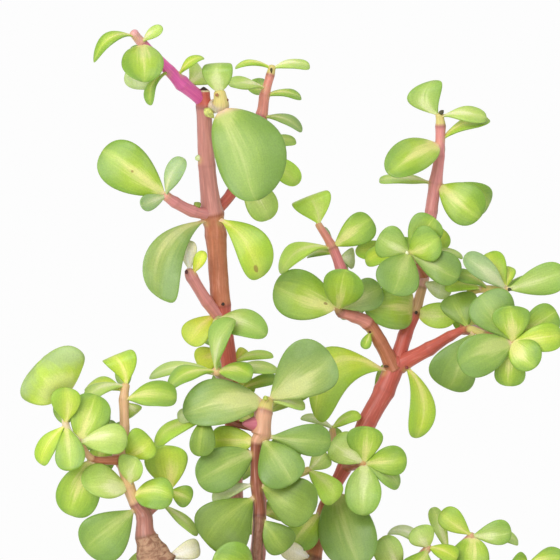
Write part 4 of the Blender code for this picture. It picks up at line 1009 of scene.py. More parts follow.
def blemished(tree, colour, blemish, along, across):
    """The colour with a small brown mark at the leaf's own place, of its own size."""
    mark_along, mark_across, size = add_node(tree, "SeparateXYZ", (blemish,)).outputs
    off_along = add_node(tree, "Math", (along, mark_along), operation="SUBTRACT")
    off_along = add_node(tree, "Math", (off_along, 3.0), operation="MULTIPLY")
    off_across = add_node(tree, "Math", (across, mark_across), operation="SUBTRACT")
    along_squared = add_node(tree, "Math", (off_along, off_along), operation="MULTIPLY")
    across_squared = add_node(tree, "Math", (off_across, off_across), operation="MULTIPLY")
    far_squared = add_node(tree, "Math", (along_squared, across_squared), operation="ADD")
    far = add_node(tree, "Math", (far_squared,), operation="SQRT")
    within = add_node(tree, "Math", (size, far), operation="SUBTRACT")
    marked = add_node(tree, "MapRange", (within, 0.0, 0.05, 0.0, 0.7), **SMOOTH)
    return add_node(tree, "Mix", {0: marked, 6: colour, 7: linear(BLEMISH)}, **PAINT)


print("blemish colour, linear:", [round(part, 3) for part in linear(BLEMISH)[:3]])

# %% [markdown]
# ### The whole skin
# Plant wax bends light a little more than water does, and gives a broad gloss.  The tissue is
# clear enough for light to pass a millimetre or so into it, most of all the green, so the
# shader's subsurface is set to that depth.

# %% Leaf material: waxy_leaf_flesh
PLANT_WAX_IOR = 1.42


def leaf_skin():
    """Waxy leaf skin over clear green tissue, patterned by each leaf's own map."""
    material = bpy.data.materials.new("waxy_leaf_flesh")
    material.use_nodes = True
    tree = material.node_tree
    shader = tree.nodes["Principled BSDF"]
    read = {name: add_node(tree, "Attribute", attribute_name=name)
            for name in ("leaf_map", "leaf_look", "margin", "glow", "heart", "blemish", "lean")}
    place = add_node(tree, "SeparateXYZ", (read["leaf_map"].outputs["Vector"],))
    along, across, rim = place.outputs
    look = add_node(tree, "SeparateXYZ", (read["leaf_look"].outputs["Vector"],))
    heart_width, bloom_and_sheen, seed = look.outputs
    colour, veins = variegated(tree, read, along, across, heart_width, seed)
    colour, wax, cells = under_wax(tree, colour, along, rim, bloom_and_sheen)
    colour = blemished(tree, colour, read["blemish"].outputs["Vector"], along, across)
    vein_relief = add_node(tree, "Math", (veins, 0.7), operation="MULTIPLY")
    cell_relief = add_node(tree, "Math", (cells, 0.3), operation="MULTIPLY")
    relief = add_node(tree, "Math", (vein_relief, cell_relief), operation="ADD")
    bump = add_node(tree, "Bump", {"Height": relief, "Strength": 0.18, "Distance": 0.0003})
    gloss = add_node(tree, "MapRange", (wax, 0.3, 0.7, 0.34, 0.48), **SMOOTH)
    tree.links.new(colour.outputs[2], shader.inputs["Base Color"])
    tree.links.new(gloss.outputs["Result"], shader.inputs["Roughness"])
    tree.links.new(bump.outputs["Normal"], shader.inputs["Normal"])
    shader.inputs["IOR"].default_value = PLANT_WAX_IOR
    shader.inputs["Subsurface Weight"].default_value = 0.30
    shader.inputs["Subsurface Radius"].default_value = (0.8, 1.0, 0.25)
    shader.inputs["Subsurface Scale"].default_value = 1.6 * MM
    return material


leaf_flesh = leaf_skin()
print("leaf nodes:", len(leaf_flesh.node_tree.nodes))

# %% [markdown]
# ## Leaf form
# An elephant-bush leaf is an egg-shaped cushion on a short stalk.  Its edge is as round as a
# bean's, its upper face has a faint trough along the middle, and no two leaves bend alike.
# A flat card with a thickness would show a hard edge, so each cross-section here is a
# flattened round: full in the middle and rolled over at the margin.

# %% [markdown]
# ### Leaves with a form of their own
# Most leaves differ only by chance.  Those that catch the eye have figures of their own: wedge
# and blunt, how the leaf widens from its foot and how round its tip is; fold, as in the table;
# blade_bend, sideways; twist, about its length; hook, from where and how far the tip curls;
# heart and lean, how wide the pale heart is and how far it lies off the middle; and blemish, a
# mark's place along and across the leaf, and its size.

# %% Leaves with a form of their own
LEAF_SPECIALS = {
    "right_right_arm_leaf_2": {"heart": 0.50},
    "middle_rosette_leaf_1": {"heart": 0.34},
    "right_upper_twig_leaf_1": {"heart": 0.62},
    "left_out_leaf_3": {"heart": 0.42},
    "right_right_arm_leaf_1": {"heart": 0.55, "wedge": 0.75},
    "right_right_arm_leaf_5": {"heart": 0.60, "wedge": 0.70},
    "trunk_leaf_1": {"blade_bend": 0.18, "wedge": 1.00, "blunt": 0.27, "lean": 0.35},
    "trunk_leaf_2": {"blade_bend": -0.14, "blunt": 0.38, "blemish": (0.88, 0.30, 0.16),
                     "heart": 0.10},
    "crown_leaf_1": {"wedge": 0.70},
    "crown_leaf_2": {"blunt": 0.65},
    "pale_stub_leaf_1": {"wedge": 0.60, "blunt": 0.50, "fold": -0.10, "blade_bend": -0.10,
                         "lean": 0.25},
    "middle_stub_leaf_1": {"wedge": 0.55},
    "pale_stub_leaf_2": {"hook": (0.62, -1.2), "blunt": 0.36, "wedge": 0.72},
    "mid_left_leaf_1": {"blemish": (0.54, 0.02, 0.08), "wedge": 0.95},
    "left_out_leaf_1": {"wedge": 0.62, "blunt": 0.30, "heart": 0.80},
    "left_out_leaf_4": {"wedge": 0.75},
    "left_out_leaf_6": {"wedge": 0.70},
    "left_leaf_2": {"wedge": 0.75, "lean": -0.4, "heart": 0.60},
    "left_leaf_4": {"wedge": 0.80},
    "left_up_leaf_1": {"hook": (0.60, -1.2), "blunt": 0.36, "blade_bend": 0.16},
    "front_leaf_1": {"wedge": 0.78, "heart": 0.62},
    "front_leaf_2": {"lean": 0.30, "heart": 0.58},
    "front_leaf_7": {"wedge": 0.70},
    "front_leaf_8": {"wedge": 0.80},
    "right_leaf_1": {"blade_bend": 0.33, "wedge": 0.85, "blemish": (0.66, -0.05, 0.09)},
    "right_leaf_3": {"wedge": 0.65, "twist": 0.0, "lean": 0.0},
    "right_left_top_leaf_1": {"hook": (0.68, -1.2), "blunt": 0.36, "blade_bend": 0.08},
    "right_left_arm_leaf_1": {"wedge": 0.85, "blemish": (0.20, 0.05, 0.12), "heart": 0.38},
    "right_middle_arm_leaf_1": {"hook": (0.70, -0.75), "blunt": 0.60, "blade_bend": -0.34},
    "right_middle_arm_leaf_4": {"wedge": 0.60},
    "right_middle_arm_leaf_6": {"wedge": 0.95},
    "right_middle_arm_leaf_8": {"wedge": 0.35},
    "right_middle_arm_leaf_9": {"wedge": 0.60},
    "right_right_arm_leaf_10": {"blade_bend": -0.10, "wedge": 1.0},
    "low_right_tip_leaf_4": {"wedge": 0.60},
    "low_rosette_leaf_1": {"wedge": 0.80, "heart": 0.34},
}
print("leaves with a form of their own:", len(LEAF_SPECIALS))

# %% [markdown]
# ### From cross-sections to a leaf
# A leaf is a row of cross-sections from its stalk to its tip, joined by quads.  That makes an
# even mesh whose points know where on the leaf they lie, so the map costs nothing.

# %% One cross-section of a leaf
LEAF_RINGS, LEAF_SIDES = 26, 28
EDGE_ROUND = 2.4                        # 2 is an ellipse; more gives a fuller, blunter margin
GROOVE_DEEP, GROOVE_WIDE = 0.22, 0.10   # the trough that runs down the upper face
TROUGH_SOFT = 0.03


def leaf_ring(middle, side, up, half, deep, fold, u, wave, phase):
    """A flattened round across the leaf at `u` of its length, and each point's place on it."""
    ring, marks = [], []
    for i in range(LEAF_SIDES):
        angle = 2 * math.pi * i / LEAF_SIDES
        v = -math.cos(angle)
        rise = math.sin(angle)
        body = math.copysign((1 - abs(v) ** EDGE_ROUND) ** (1 / EDGE_ROUND), rise)
        body = 0.0 if abs(rise) < 1e-9 else body
        trough = math.sqrt(v * v + TROUGH_SOFT) - math.sqrt(TROUGH_SOFT)
        groove = GROOVE_DEEP * math.exp(-(v / GROOVE_WIDE) ** 2) * (1 - u) * (rise > 0)
        ripple = wave * v * abs(v) * math.sin(8.5 * u + phase)
        ring.append(middle + side * half * v
                    + up * (half * fold * trough + (body - groove) * deep + ripple))
        marks.append((u, v, max(abs(v), u)))
    return ring, marks


print("a fine leaf has", LEAF_RINGS * LEAF_SIDES + 2, "corners")

# %% One fine leaf
STALK_HALF = 0.75 * MM                  # half the width of the stalk where it leaves the stem
STALK_THICK = 0.55 * MM
STALK_SHARE = 0.16                      # of the leaf's length
FINE_WEDGE, FINE_BLUNT = 1.10, 0.44     # narrower at the foot than the plain leaves
FINE_THIN, FINE_THICKENING = 0.42, 0.030
FOOT_SINK = 0.3                         # how much deeper the stalk goes than the plain leaf's


def leaf_grid(leaf, luck, special):
    """Rings of points for one leaf, and for each point how far along and across it lies."""
    base, tip, face = leaf.pose
    inward = (leaf.joint - tip).normalized()
    base = base + inward * (SEAT + SINK if leaf.own_piece else FOOT_SINK) * MM
    axis = tip - base
    length = axis.length
    axis.normalize()
    normal = (face - axis * face.dot(axis)).normalized()
    twist = special.get("twist", luck.uniform(-0.16, 0.16))
    bend = special.get("blade_bend", luck.uniform(-0.03, 0.03)) * length
    wave = luck.uniform(0.01, 0.035) * leaf.width
    phase = luck.uniform(0, 2 * math.pi)
    wedge = special.get("wedge", FINE_WEDGE * luck.uniform(0.92, 1.10))
    blunt = special.get("blunt", FINE_BLUNT * luck.uniform(0.92, 1.08))
    hook_at, hook = special.get("hook", (0.6, luck.uniform(-0.35, 0.15)))
    fold = special.get("fold", leaf.fold)
    thick = (FINE_THIN + FINE_THICKENING * leaf.width / MM) * MM
    rings, maps = [], []
    for k in range(LEAF_RINGS):
        u = 0.5 - 0.5 * math.cos(math.pi * (k + 0.35) / (LEAF_RINGS - 0.3))
        blade = half_width(u, wedge, blunt) * leaf.width / 2
        stalk = max(0.0, 1 - u / STALK_SHARE)
        half = max(blade, STALK_HALF * (1 - 0.35 * (1 - stalk))) if u < 0.5 else blade
        deep = thick * (0.50 + 0.50 * math.sin(math.pi * min(u * 1.1, 1.0)))
        deep = deep * (1 - stalk) + STALK_THICK * stalk
        deep *= min(1.0, (1 - u) / 0.02) ** 0.5
        turn = Matrix.Rotation(twist * (u - 0.3), 3, axis)
        up = turn @ normal
        side = turn @ axis.cross(normal)
        straight = min(u, hook_at)
        angle = hook * max(0.0, (u - hook_at) / (1 - hook_at))
        hooked = (axis * math.cos(angle) + up * math.sin(angle)) * (u - straight) * length
        middle = (base + axis * length * straight + hooked
                  + up * leaf.arch * length * 4 * u * (1 - u) + side * bend * 4 * u * (1 - u))
        ring, marks = leaf_ring(middle, side, up, half, deep, fold, u, wave, phase)
        rings.append(ring)
        maps.append(marks)
    start = base - axis * 0.2 * MM
    end = middle + axis * length * (1 - u) * 0.8
    return rings, maps, start, end


largest = max(leaves, key=lambda leaf: leaf.length)
print("the longest leaf is", largest.name, "of", round(largest.length / MM, 1), "mm")

# %% Objects that carry their own values
FIELDS = {"FLOAT_COLOR": "color", "FLOAT_VECTOR": "vector", "FLOAT": "value"}


def dressed_mesh(name, shape, material):
    """A smooth shaded object of the given corners and faces, with its one material."""
    mesh = bpy.data.meshes.new(name)
    mesh.from_pydata([tuple(v) for v in shape[0]], [], shape[1])
    mesh.shade_smooth()
    mesh.materials.append(material)
    piece = bpy.data.objects.new(name, mesh)
    scene.collection.objects.link(piece)
    return piece


def set_attribute(piece, name, kind, values):
    """Write one value per corner, or the same value for all of them."""
    layer = piece.data.attributes.new(name, kind, "POINT")
    count = len(piece.data.vertices)
    values = np.asarray(values, dtype=np.float32)
    if values.ndim < 2 and kind != "FLOAT":
        values = np.tile(values, (count, 1))
    layer.data.foreach_set(FIELDS[kind], values.ravel())


print("kinds of value at a corner:", list(FIELDS))

# %% A leaf's own map and colours
TONE_SPREAD = 0.06                      # how far one leaf's lightness strays from its tone
NO_BLEMISH = (9.0, 9.0, 0.0)            # far off the leaf, and of no size


def shade_of(colour, change):
    """The linear colour, lighter or darker by a share."""
    red, green, blue, alpha = linear(colour)
    return red * (1 + change), green * (1 + change), blue * (1 + change), alpha


def make_leaf(leaf):
    """One fine leaf, with its map, its colours and its blemish."""
    luck = random.Random(leaf.name)
    special = LEAF_SPECIALS.get(leaf.name, {})
    rings, maps, start, end = leaf_grid(leaf, luck, special)
    piece = dressed_mesh(leaf.name, loft(rings, start, end), leaf_flesh)
    marks = [(0.0, 0.0, 0.0)] + [m for marks in maps for m in marks] + [(1.0, 0.0, 1.0)]
    set_attribute(piece, "leaf_map", "FLOAT_VECTOR", marks)
    margin, glow, heart, heart_width, bloom_and_sheen = TONES[leaf.tone]
    heart_width = special.get("heart", heart_width * luck.uniform(0.75, 1.25))
    set_attribute(piece, "leaf_look", "FLOAT_VECTOR",
                  (heart_width, bloom_and_sheen * luck.uniform(0.6, 1.2), luck.uniform(0, 50)))
    change = luck.uniform(-TONE_SPREAD, TONE_SPREAD)
    for name, colour in (("margin", margin), ("glow", glow), ("heart", heart)):
        set_attribute(piece, name, "FLOAT_COLOR", shade_of(colour, change))
    lean = special.get("lean", luck.uniform(-0.22, 0.22))
    set_attribute(piece, "lean", "FLOAT", [lean] * len(marks))
    set_attribute(piece, "blemish", "FLOAT_VECTOR", special.get("blemish", NO_BLEMISH))
    return piece


print("blemished leaves:", [name for name, form in LEAF_SPECIALS.items() if "blemish" in form])

# %% Dress every leaf
for leaf in leaves:
    piece = make_leaf(leaf)
    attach(piece, "root")
    if leaf.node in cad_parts:
        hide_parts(leaf.node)
print("fine leaves:", len(leaves), "with", sum(leaf.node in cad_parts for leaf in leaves),
      "in place of solids")

# %% [markdown]
# ## Stem skin
# A young stem is smooth, waxy and coloured by the sun: magenta at a new tip, then rose, salmon
# and orange-brown further down.  The colour changes all at once at a joint, because each
# stretch grew in its own season.  Old wood at the foot turns to tan cork.  So each stretch of
# the growth table names its own tint, and the shader adds fine streaks along the stem, a dark
# line at each joint, and the paler skin round each leaf stalk.
#
# Noise in the space of the room would run across a leaning stem like cloth.  So each stem has a
# map of its own, how far round and how far along, and the streaks and the cork follow that.

# %% Stem tints
TINTS = {
    "r": "#C3847A",    # rose
    "p": "#D07A7C",    # pink-red, young
    "m": "#DC60A6",    # magenta, the newest
    "v": "#C6717F",    # deep rose
    "l": "#DCA0A2",    # light pink
    "e": "#D2A97E",    # peach
    "s": "#D58A7A",    # salmon
    "d": "#C25E50",    # red
    "o": "#B9704F",    # orange-brown
    "k": "#74452F",    # dark red-brown
    "w": "#9C735A",    # tan wood
    "t": "#CE9C7C",    # pinkish tan
    "n": "#AA7264",    # dull rose-brown
    "c": "#E2D8BE",    # cream, nearly clear
    "y": "#CFC274",    # yellow-green
    "g": "#BCCB80",    # pale green
    "j": "#D48A87",    # clear rose-pink
    "x": "#8C5038",    # chestnut
}
WOODY = {"w": 1.0, "k": 0.30, "o": 0.12}    # how far a stretch has turned to wood
print("stem tints:", len(TINTS), "of which woody:", len(WOODY))

# %% Stem material: waxed_bark
STREAK_STRETCH = (4.0, 4.0, 0.35)       # fine round the stem, and long along it
CORK_STRETCH = (1.6, 1.6, 2.2)          # coarse round the stem, and in short rings along it
BLUSH = "#E3A79A"
CORK_DARK, CORK_PALE = "#805844", "#C09A7C"
STALK_RING = "#CDB56C"                  # the paler skin round a leaf's stalk
JOINT_LINE = "#6B352C"


def stem_skin():
    """Waxy young bark that turns to tan cork where the stem is old."""
    material = bpy.data.materials.new("waxed_bark")
    material.use_nodes = True
    tree = material.node_tree
    shader = tree.nodes["Principled BSDF"]
    read = {name: add_node(tree, "Attribute", attribute_name=name)
            for name in ("tint", "stem_map", "stem_marks")}
    marks = add_node(tree, "SeparateXYZ", (read["stem_marks"].outputs["Vector"],))
    joint_line, stalk_near, wood = marks.outputs
    around = read["stem_map"].outputs["Vector"]
    stretched = add_node(tree, "VectorMath", (around, STREAK_STRETCH), operation="MULTIPLY")
    streaks = add_node(tree, "TexNoise",
                       {"Vector": stretched, "Scale": 1.0, "Detail": 4.0, "Roughness": 0.6})
    banded = add_node(tree, "VectorMath", (around, CORK_STRETCH), operation="MULTIPLY")
    cork = add_node(tree, "TexNoise", {"Vector": banded, "Scale": 1.0, "Detail": 6.0,
                                       "Roughness": 0.62, "Distortion": 0.9})
    streaky = add_node(tree, "MapRange", (streaks, 0.25, 0.75, 0.84, 1.14), **SMOOTH)
    colour = shaded(tree, read["tint"].outputs["Color"], streaky)
    blushed = add_node(tree, "MapRange", (streaks, 0.52, 0.72, 0.0, 0.35), **SMOOTH)
    colour = add_node(tree, "Mix", {0: blushed, 6: colour, 7: linear(BLUSH)}, **PAINT)
    ridges = add_node(tree, "MapRange", (cork, 0.36, 0.62), **SMOOTH)
    corky = add_node(tree, "Mix", {0: ridges, 6: linear(CORK_DARK), 7: linear(CORK_PALE)},
                     **PAINT)
    for share, strength, over in ((wood, 0.75, corky), (stalk_near, 0.60, linear(STALK_RING)),
                                  (joint_line, 0.45, linear(JOINT_LINE))):
        cover = add_node(tree, "Math", (share, strength), operation="MULTIPLY")
        colour = add_node(tree, "Mix", {0: cover, 6: colour, 7: over}, **PAINT)
    streak_relief = add_node(tree, "Math", (streaks, 0.5), operation="MULTIPLY")
    cork_relief = add_node(tree, "Math", (cork, wood), operation="MULTIPLY")
    cork_relief = add_node(tree, "Math", (cork_relief, 3.0), operation="MULTIPLY")
    relief = add_node(tree, "Math", (streak_relief, cork_relief), operation="ADD")
    bump = add_node(tree, "Bump", {"Height": relief, "Strength": 0.40, "Distance": 0.0004})
    gloss = add_node(tree, "MapRange", (wood, 0.0, 1.0, 0.36, 0.80), **SMOOTH)
    tree.links.new(colour.outputs[2], shader.inputs["Base Color"])
    tree.links.new(gloss.outputs["Result"], shader.inputs["Roughness"])
    tree.links.new(bump.outputs["Normal"], shader.inputs["Normal"])
    shader.inputs["IOR"].default_value = PLANT_WAX_IOR
    shader.inputs["Subsurface Weight"].default_value = 0.12
    shader.inputs["Subsurface Radius"].default_value = (1.0, 0.4, 0.3)
    shader.inputs["Subsurface Scale"].default_value = 1.2 * MM
    return material


bark_skin = stem_skin()
print("bark nodes:", len(bark_skin.node_tree.nodes))

# %% [markdown]
# ## Stem form
# Each stem is one smooth tube drawn through its joints.  At a joint it swells a little, since
# two leaves once stood there, and between joints it is slightly flattened, first one way and
# then the other, because the pairs of leaves alternate.  A branch flares where it leaves its
# parent.  The old left stem is wrinkled all over.
#
# A curve with a round bevel would be quicker, but it stays an even pipe.  A mesh that is built
# ring by ring can swell, flatten and flare, and every point knows its place on the stem.

# %% The course of a stem
STEM_STEP = 0.6 * MM


def stem_course(joints):
    """Places along a stem about STEM_STEP apart, and the length along it of each joint."""
    points = [plant_point(*joint[:3]) for joint in joints]
    places, marks, length = [], [0.0], 0.0
    for i in range(len(points) - 1):
        pieces = max(3, round((points[i + 1] - points[i]).length / STEM_STEP))
        places += [i + k / pieces for k in range(pieces)]
    places.append(len(points) - 1)
    centres = [smooth_point(points, place) for place in places]
    lengths = [0.0]
    for before, after in zip(centres, centres[1:]):
        lengths.append(lengths[-1] + (after - before).length)
    at_joints = [lengths[places.index(i)] for i in range(len(points))]
    return places, centres, lengths, at_joints


print("the trunk is", round(stem_course(trunk_joints)[2][-1] / MM), "mm long")

# %% One place on a fine stem
JOINT_SWELL, JOINT_REACH = 0.05, 1.2 * MM
WOOD_SWELL = 0.13                       # old wood has thicker rings at its joints
FINE_WAIST = 0.06
COLLAR, COLLAR_REACH = 0.28, 1.3        # a branch's flare at its foot, and its reach in radii
LINE_SHARPNESS = 2.4                    # the dark line at a joint is this much narrower
NEW_SEASON, SAME_SEASON = 1.0, 0.3      # how dark that line is
TINT_CHANGE = 0.7 * MM                  # the length over which one tint goes into the next


def stem_place(tints, radii, at_joints, place, length, is_branch):
    """Radius, turn of the flat side, tint, darkness of the joint's line, and share of wood."""
    first = min(int(place), len(radii) - 2)
    share = place - first
    radius = radii[first] * (1 - share) + radii[first + 1] * share
    radius *= 1 - FINE_WAIST * math.sin(math.pi * share)
    wood = WOODY.get(tints[first], 0.0)
    nearest = min(at_joints[1:-1] or [-1.0], key=lambda at: abs(at - length))
    off = (length - nearest) / JOINT_REACH
    swell = JOINT_SWELL * (1 - wood) + WOOD_SWELL * wood
    radius *= 1 + swell * math.exp(-off * off)
    if is_branch:
        radius *= 1 + COLLAR * math.exp(-length / (COLLAR_REACH * radii[0]))
    turned = (first + min(share * 4, 1)) * math.pi / 2
    blend = min(max((length - at_joints[first]) / TINT_CHANGE, 0), 1)
    last_tint = Vector(linear(TINTS[tints[max(first - 1, 0)]]))
    tint = last_tint.lerp(Vector(linear(TINTS[tints[first]])), blend)
    joint = at_joints.index(nearest) if nearest in at_joints else 0
    season = NEW_SEASON if joint and tints[joint - 1] != tints[joint] else SAME_SEASON
    line = season * math.exp(-(off * LINE_SHARPNESS) ** 2) if joint else 0.0
    return radius, turned, tint, line, wood


print("joints swell by", JOINT_SWELL, "of the radius, and by", WOOD_SWELL, "in old wood")

# %% One ring of bark
STEM_SIDES = 20
STEM_TURNS = [2 * math.pi * i / STEM_SIDES for i in range(STEM_SIDES)]
FLATTENED = 0.030
WRINKLES = 0.36                         # wrinkles in each millimetre of bark
SMOOTH_BARK, WOOD_WRINKLE = 0.025, 0.16


def bark_ring(centre, across, other, radius, turned, wood):
    """The points round a stem at one place: a little flat, and wrinkled where it is old."""
    ring = []
    for angle in STEM_TURNS:
        out = across * math.cos(angle) + other * math.sin(angle)
        flat = 1 + FLATTENED * math.cos(2 * angle - turned)
        rough = noise.noise((centre + out * radius) * WRINKLES / MM)
        wrinkle = SMOOTH_BARK + WOOD_WRINKLE * wood
        ring.append(centre + out * radius * (flat + rough * wrinkle))
    return ring


print("points round a stem:", STEM_SIDES)

# %% One fine stem
MAP_UNIT = 3 * MM                       # the length of stem that one unit of its map covers
STALK_FAR, STALK_FADE = 2.2 * MM, 1.4 * MM
CAP_RINGS = 4


def fine_tube(tints, joints, is_branch, stalks):
    """One stem or branch as a fine tube, with its tint, map and marks at every corner."""
    places, centres, lengths, at_joints = stem_course(joints)
    radii = [joint[3] * MM for joint in joints]
    rings, tint_of, map_of, mark_of = [], [], [], []
    for place, centre, length, (along, across, other) in zip(places, centres, lengths,
                                                             tube_frames(centres)):
        radius, turned, tint, line, wood = stem_place(tints, radii, at_joints, place, length,
                                                      is_branch)
        ring = bark_ring(centre, across, other, radius, turned, wood)
        rings.append(ring)
        for angle, point in zip(STEM_TURNS, ring):
            near = stalks.find(point)[2]
            stalk = min(max((STALK_FAR - near) / STALK_FADE, 0), 1)
            tint_of.append(tint)
            map_of.append((math.cos(angle), math.sin(angle), length / MAP_UNIT))
            mark_of.append((line, stalk * stalk, wood))
    for k in range(1, CAP_RINGS):
        angle = math.pi / 2 * k / CAP_RINGS
        centre = centres[-1] + along * radii[-1] * TIP_REACH * math.sin(angle)
        rings.append([centre + (point - centres[-1]) * math.cos(angle)
                      for point in rings[len(places) - 1]])
        tint_of += tint_of[-STEM_SIDES:]
        map_of += map_of[-STEM_SIDES:]
        mark_of += mark_of[-STEM_SIDES:]
    start = centres[0] - (centres[1] - centres[0]).normalized() * radii[0] * FOOT_REACH
    end = centres[-1] + along * radii[-1] * TIP_REACH
    whole = [[values[0]] + values + [values[-1]] for values in (tint_of, map_of, mark_of)]
    return loft(rings, start, end), *whole


print("a fine stem has a ring every", round(STEM_STEP / MM, 2), "mm")

# %% Dress every stem
stalk_tree = KDTree(len(leaves))
for index, leaf in enumerate(leaves):
    stalk_tree.insert(leaf.pose[0], index)
stalk_tree.balance()

for stem, branches in STEMS.items():
    shapes, tints_all, maps_all, marks_all = [], [], [], []
    for number, (_, tints, joints, _) in enumerate(branches):
        shape, tint_of, map_of, mark_of = fine_tube(tints, joints, number > 0, stalk_tree)
        shapes.append(shape)
        tints_all += [tuple(t) for t in tint_of]
        maps_all += map_of
        marks_all += mark_of
    piece = dressed_mesh(stem + "_bark", merged(shapes), bark_skin)
    set_attribute(piece, "tint", "FLOAT_COLOR", tints_all)
    set_attribute(piece, "stem_map", "FLOAT_VECTOR", maps_all)
    set_attribute(piece, "stem_marks", "FLOAT_VECTOR", marks_all)
    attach(piece, "root")
    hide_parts(stem)
    print(stem, "has", len(piece.data.polygons), "faces")

# %% [markdown]
# ## Dry buds and scars
# Where a tip was pruned or a leaf fell, the plant leaves a small dark, dry bud, and here and
# there a green one is about to grow.  They are tiny, but they mark the joints.  A ball would
# look like a bead, so each is a wrinkled drop: a turned teardrop with noise pressed into it.

# %% Places of the buds
BUDS = {    # x, y, z, radius, length, direction, tint
    "pruned_ring": (-8.8, 4.2, 190.2, 1.8, 1.3, "U", "#D9C3A0"),
    "pruned_top": (-8.8, 3.6, 190.7, 1.0, 1.4, "U", "#3B2A22"),
    "papery_scale_1": (-5.0, -4.5, 189.6, 0.5, 0.6, "F", "#9A6A48"),
    "papery_scale_2": (-2.4, -4.2, 188.2, 0.5, 0.9, "FR", "#7A4A34"),
    "big_leaf_stalk": (-8.6, 1.6, 185.9, 1.2, 4.0, "RD", "#C6CC70"),
    "right_twig_scar": (10.4, 10.8, 198.0, 0.35, 1.7, "D", "#4A4620"),
    "rosette_heart": (49.4, -6.4, 144.4, 0.5, 1.5, "FU", "#EFF0CC"),
    "trunk_scar": (-3.4, 3.4, 130.2, 0.5, 0.8, "F", "#3B2A22"),
    "left_stub_scar": (-13.4, 0.8, 139.4, 0.6, 1.1, "FL", "#5A3030"),
    "middle_arm_scar": (51.9, 2.6, 127.7, 0.5, 1.1, "FR", "#3A2B20"),
    "left_arm_tip": (29.2, -5.4, 130.0, 0.9, 1.5, "FU", "#2F2820"),
    "middle_arm_tip": (58.9, 8, 184.9, 0.7, 1.7, "UR", "#4E4A30"),
    "upper_twig_tip": (78.4, -1.2, 134.4, 0.5, 1.4, "FR", "#3F4426"),
    "trunk_left_bud": (-10, 3.6, 157.7, 1.1, 2.2, "UL", "#8FA544"),
    "trunk_right_bud": (-0.6, 5.0, 150.0, 0.9, 2.2, "R", "#7C8E3C"),
    "left_arm_scar": (38.7, -2.9, 122.3, 0.45, 0.8, "FD", "#5A2E26"),
    "front_fork_bud": (8.8, -15.6, 103.0, 0.8, 1.5, "FU", "#A4B04C"),
    "left_fork_scar": (42.8, -1.2, 112.2, 0.4, 1.6, "R", "#5E3E24"),
    "right_fork_scar": (49.2, -0.9, 111.8, 0.5, 1.0, "FR", "#84383A"),
}
print("buds and scars:", len(BUDS))

# %% A wrinkled drop
DROP_RINGS, DROP_SIDES = 9, 14
DROP_DENT = 0.22


def drop(length, radius, seed):
    """A wrinkled teardrop that stands on its foot at the origin."""
    rings = []
    for k in range(DROP_RINGS):
        u = 0.04 + 0.92 * k / (DROP_RINGS - 1)
        fat = radius * math.sin(math.pi * u ** 0.75) ** 0.8
        ring = []
        for i in range(DROP_SIDES):
            angle = 2 * math.pi * i / DROP_SIDES
            out = Vector((math.cos(angle), math.sin(angle), 0))
            dent = 1 + DROP_DENT * noise.noise(out * 1.8 + Vector((seed, u * 3, 0)))
            ring.append(out * fat * dent + Vector((0, 0, u * length)))
        rings.append(ring)
    return loft(rings, Vector((0, 0, 0)), Vector((0, 0, length)))


print("a drop has", len(drop(1.0, 1.0, 0)[1]), "faces")

# %% Bud material: bud_scale
BUD_CREASE = MM / 1.4                   # dry scales crease about every 0.7 mm


def bud_skin():
    """Dry or green bud skin: matt and creased, with the bud's own colour."""
    material = bpy.data.materials.new("bud_scale")
    material.use_nodes = True
    tree = material.node_tree
    shader = tree.nodes["Principled BSDF"]
    own = add_node(tree, "Attribute", attribute_name="tint").outputs["Color"]
    spot = add_node(tree, "TexCoord").outputs["Object"]
    crease = add_node(tree, "TexNoise", {"Vector": spot, "Scale": 1 / BUD_CREASE, "Detail": 3.0})
    creased = add_node(tree, "MapRange", (crease, 0.3, 0.7, 0.7, 1.3), **SMOOTH)
    tree.links.new(shaded(tree, own, creased).outputs[2], shader.inputs["Base Color"])
    shader.inputs["Roughness"].default_value = 0.7
    return material


bud_scale = bud_skin()
print("bud nodes:", len(bud_scale.node_tree.nodes))

# %% Buds in place
for number, (name, (x, y, z, radius, length, way, tint)) in enumerate(BUDS.items()):
    verts, faces = drop(length * MM, radius * MM, number)
    aim = sum((FACING[letter] for letter in way), Vector()).to_track_quat("Z", "Y")
    foot = plant_point(x, y, z)
    bud = dressed_mesh(name, ([foot + aim @ v for v in verts], faces), bud_scale)
    set_attribute(bud, "tint", "FLOAT_COLOR", linear(tint))
    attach(bud, "root")
print("buds in place:", number + 1)

# %% [markdown]
# ## The pot
# A plain clay pot with a thick band round its mouth.  Real ones are pressed from red clay and
# fired once, so they are matt, slightly uneven, and stained by the water that seeps through:
# a chalky bloom of lime low down and along the band.  Cylinders could be stacked and bevelled,
# but one turned profile gives wall, band and floor together, with every corner worn round.
# The drain holes are then cut through the floor, as a potter cuts them.

# %% Pot profile
POT_FOOT_RADIUS, POT_BODY_RADIUS, POT_RIM_RADIUS = 37.0, 49.0, 55.0
POT_RIM_BAND, POT_WALL, POT_FLOOR = 18.0, 4.0, 6.0
DRAIN_HOLES, DRAIN_RADIUS, DRAIN_CIRCLE = 4, 4.0, 20.0
PROFILE_STEP = 3.0                      # the profile has a point at least this often
WORN = (0, 0.2, 0.4, 0.6, 0.8, 1)       # points round each worn corner


def inner_radius(z):
    """The pot's inside wall at height z, a straight cone from its floor to its mouth."""
    slope = (POT_BODY_RADIUS - POT_FOOT_RADIUS) / (POT_HEIGHT - POT_RIM_BAND)
    return POT_FOOT_RADIUS - POT_WALL + slope * z


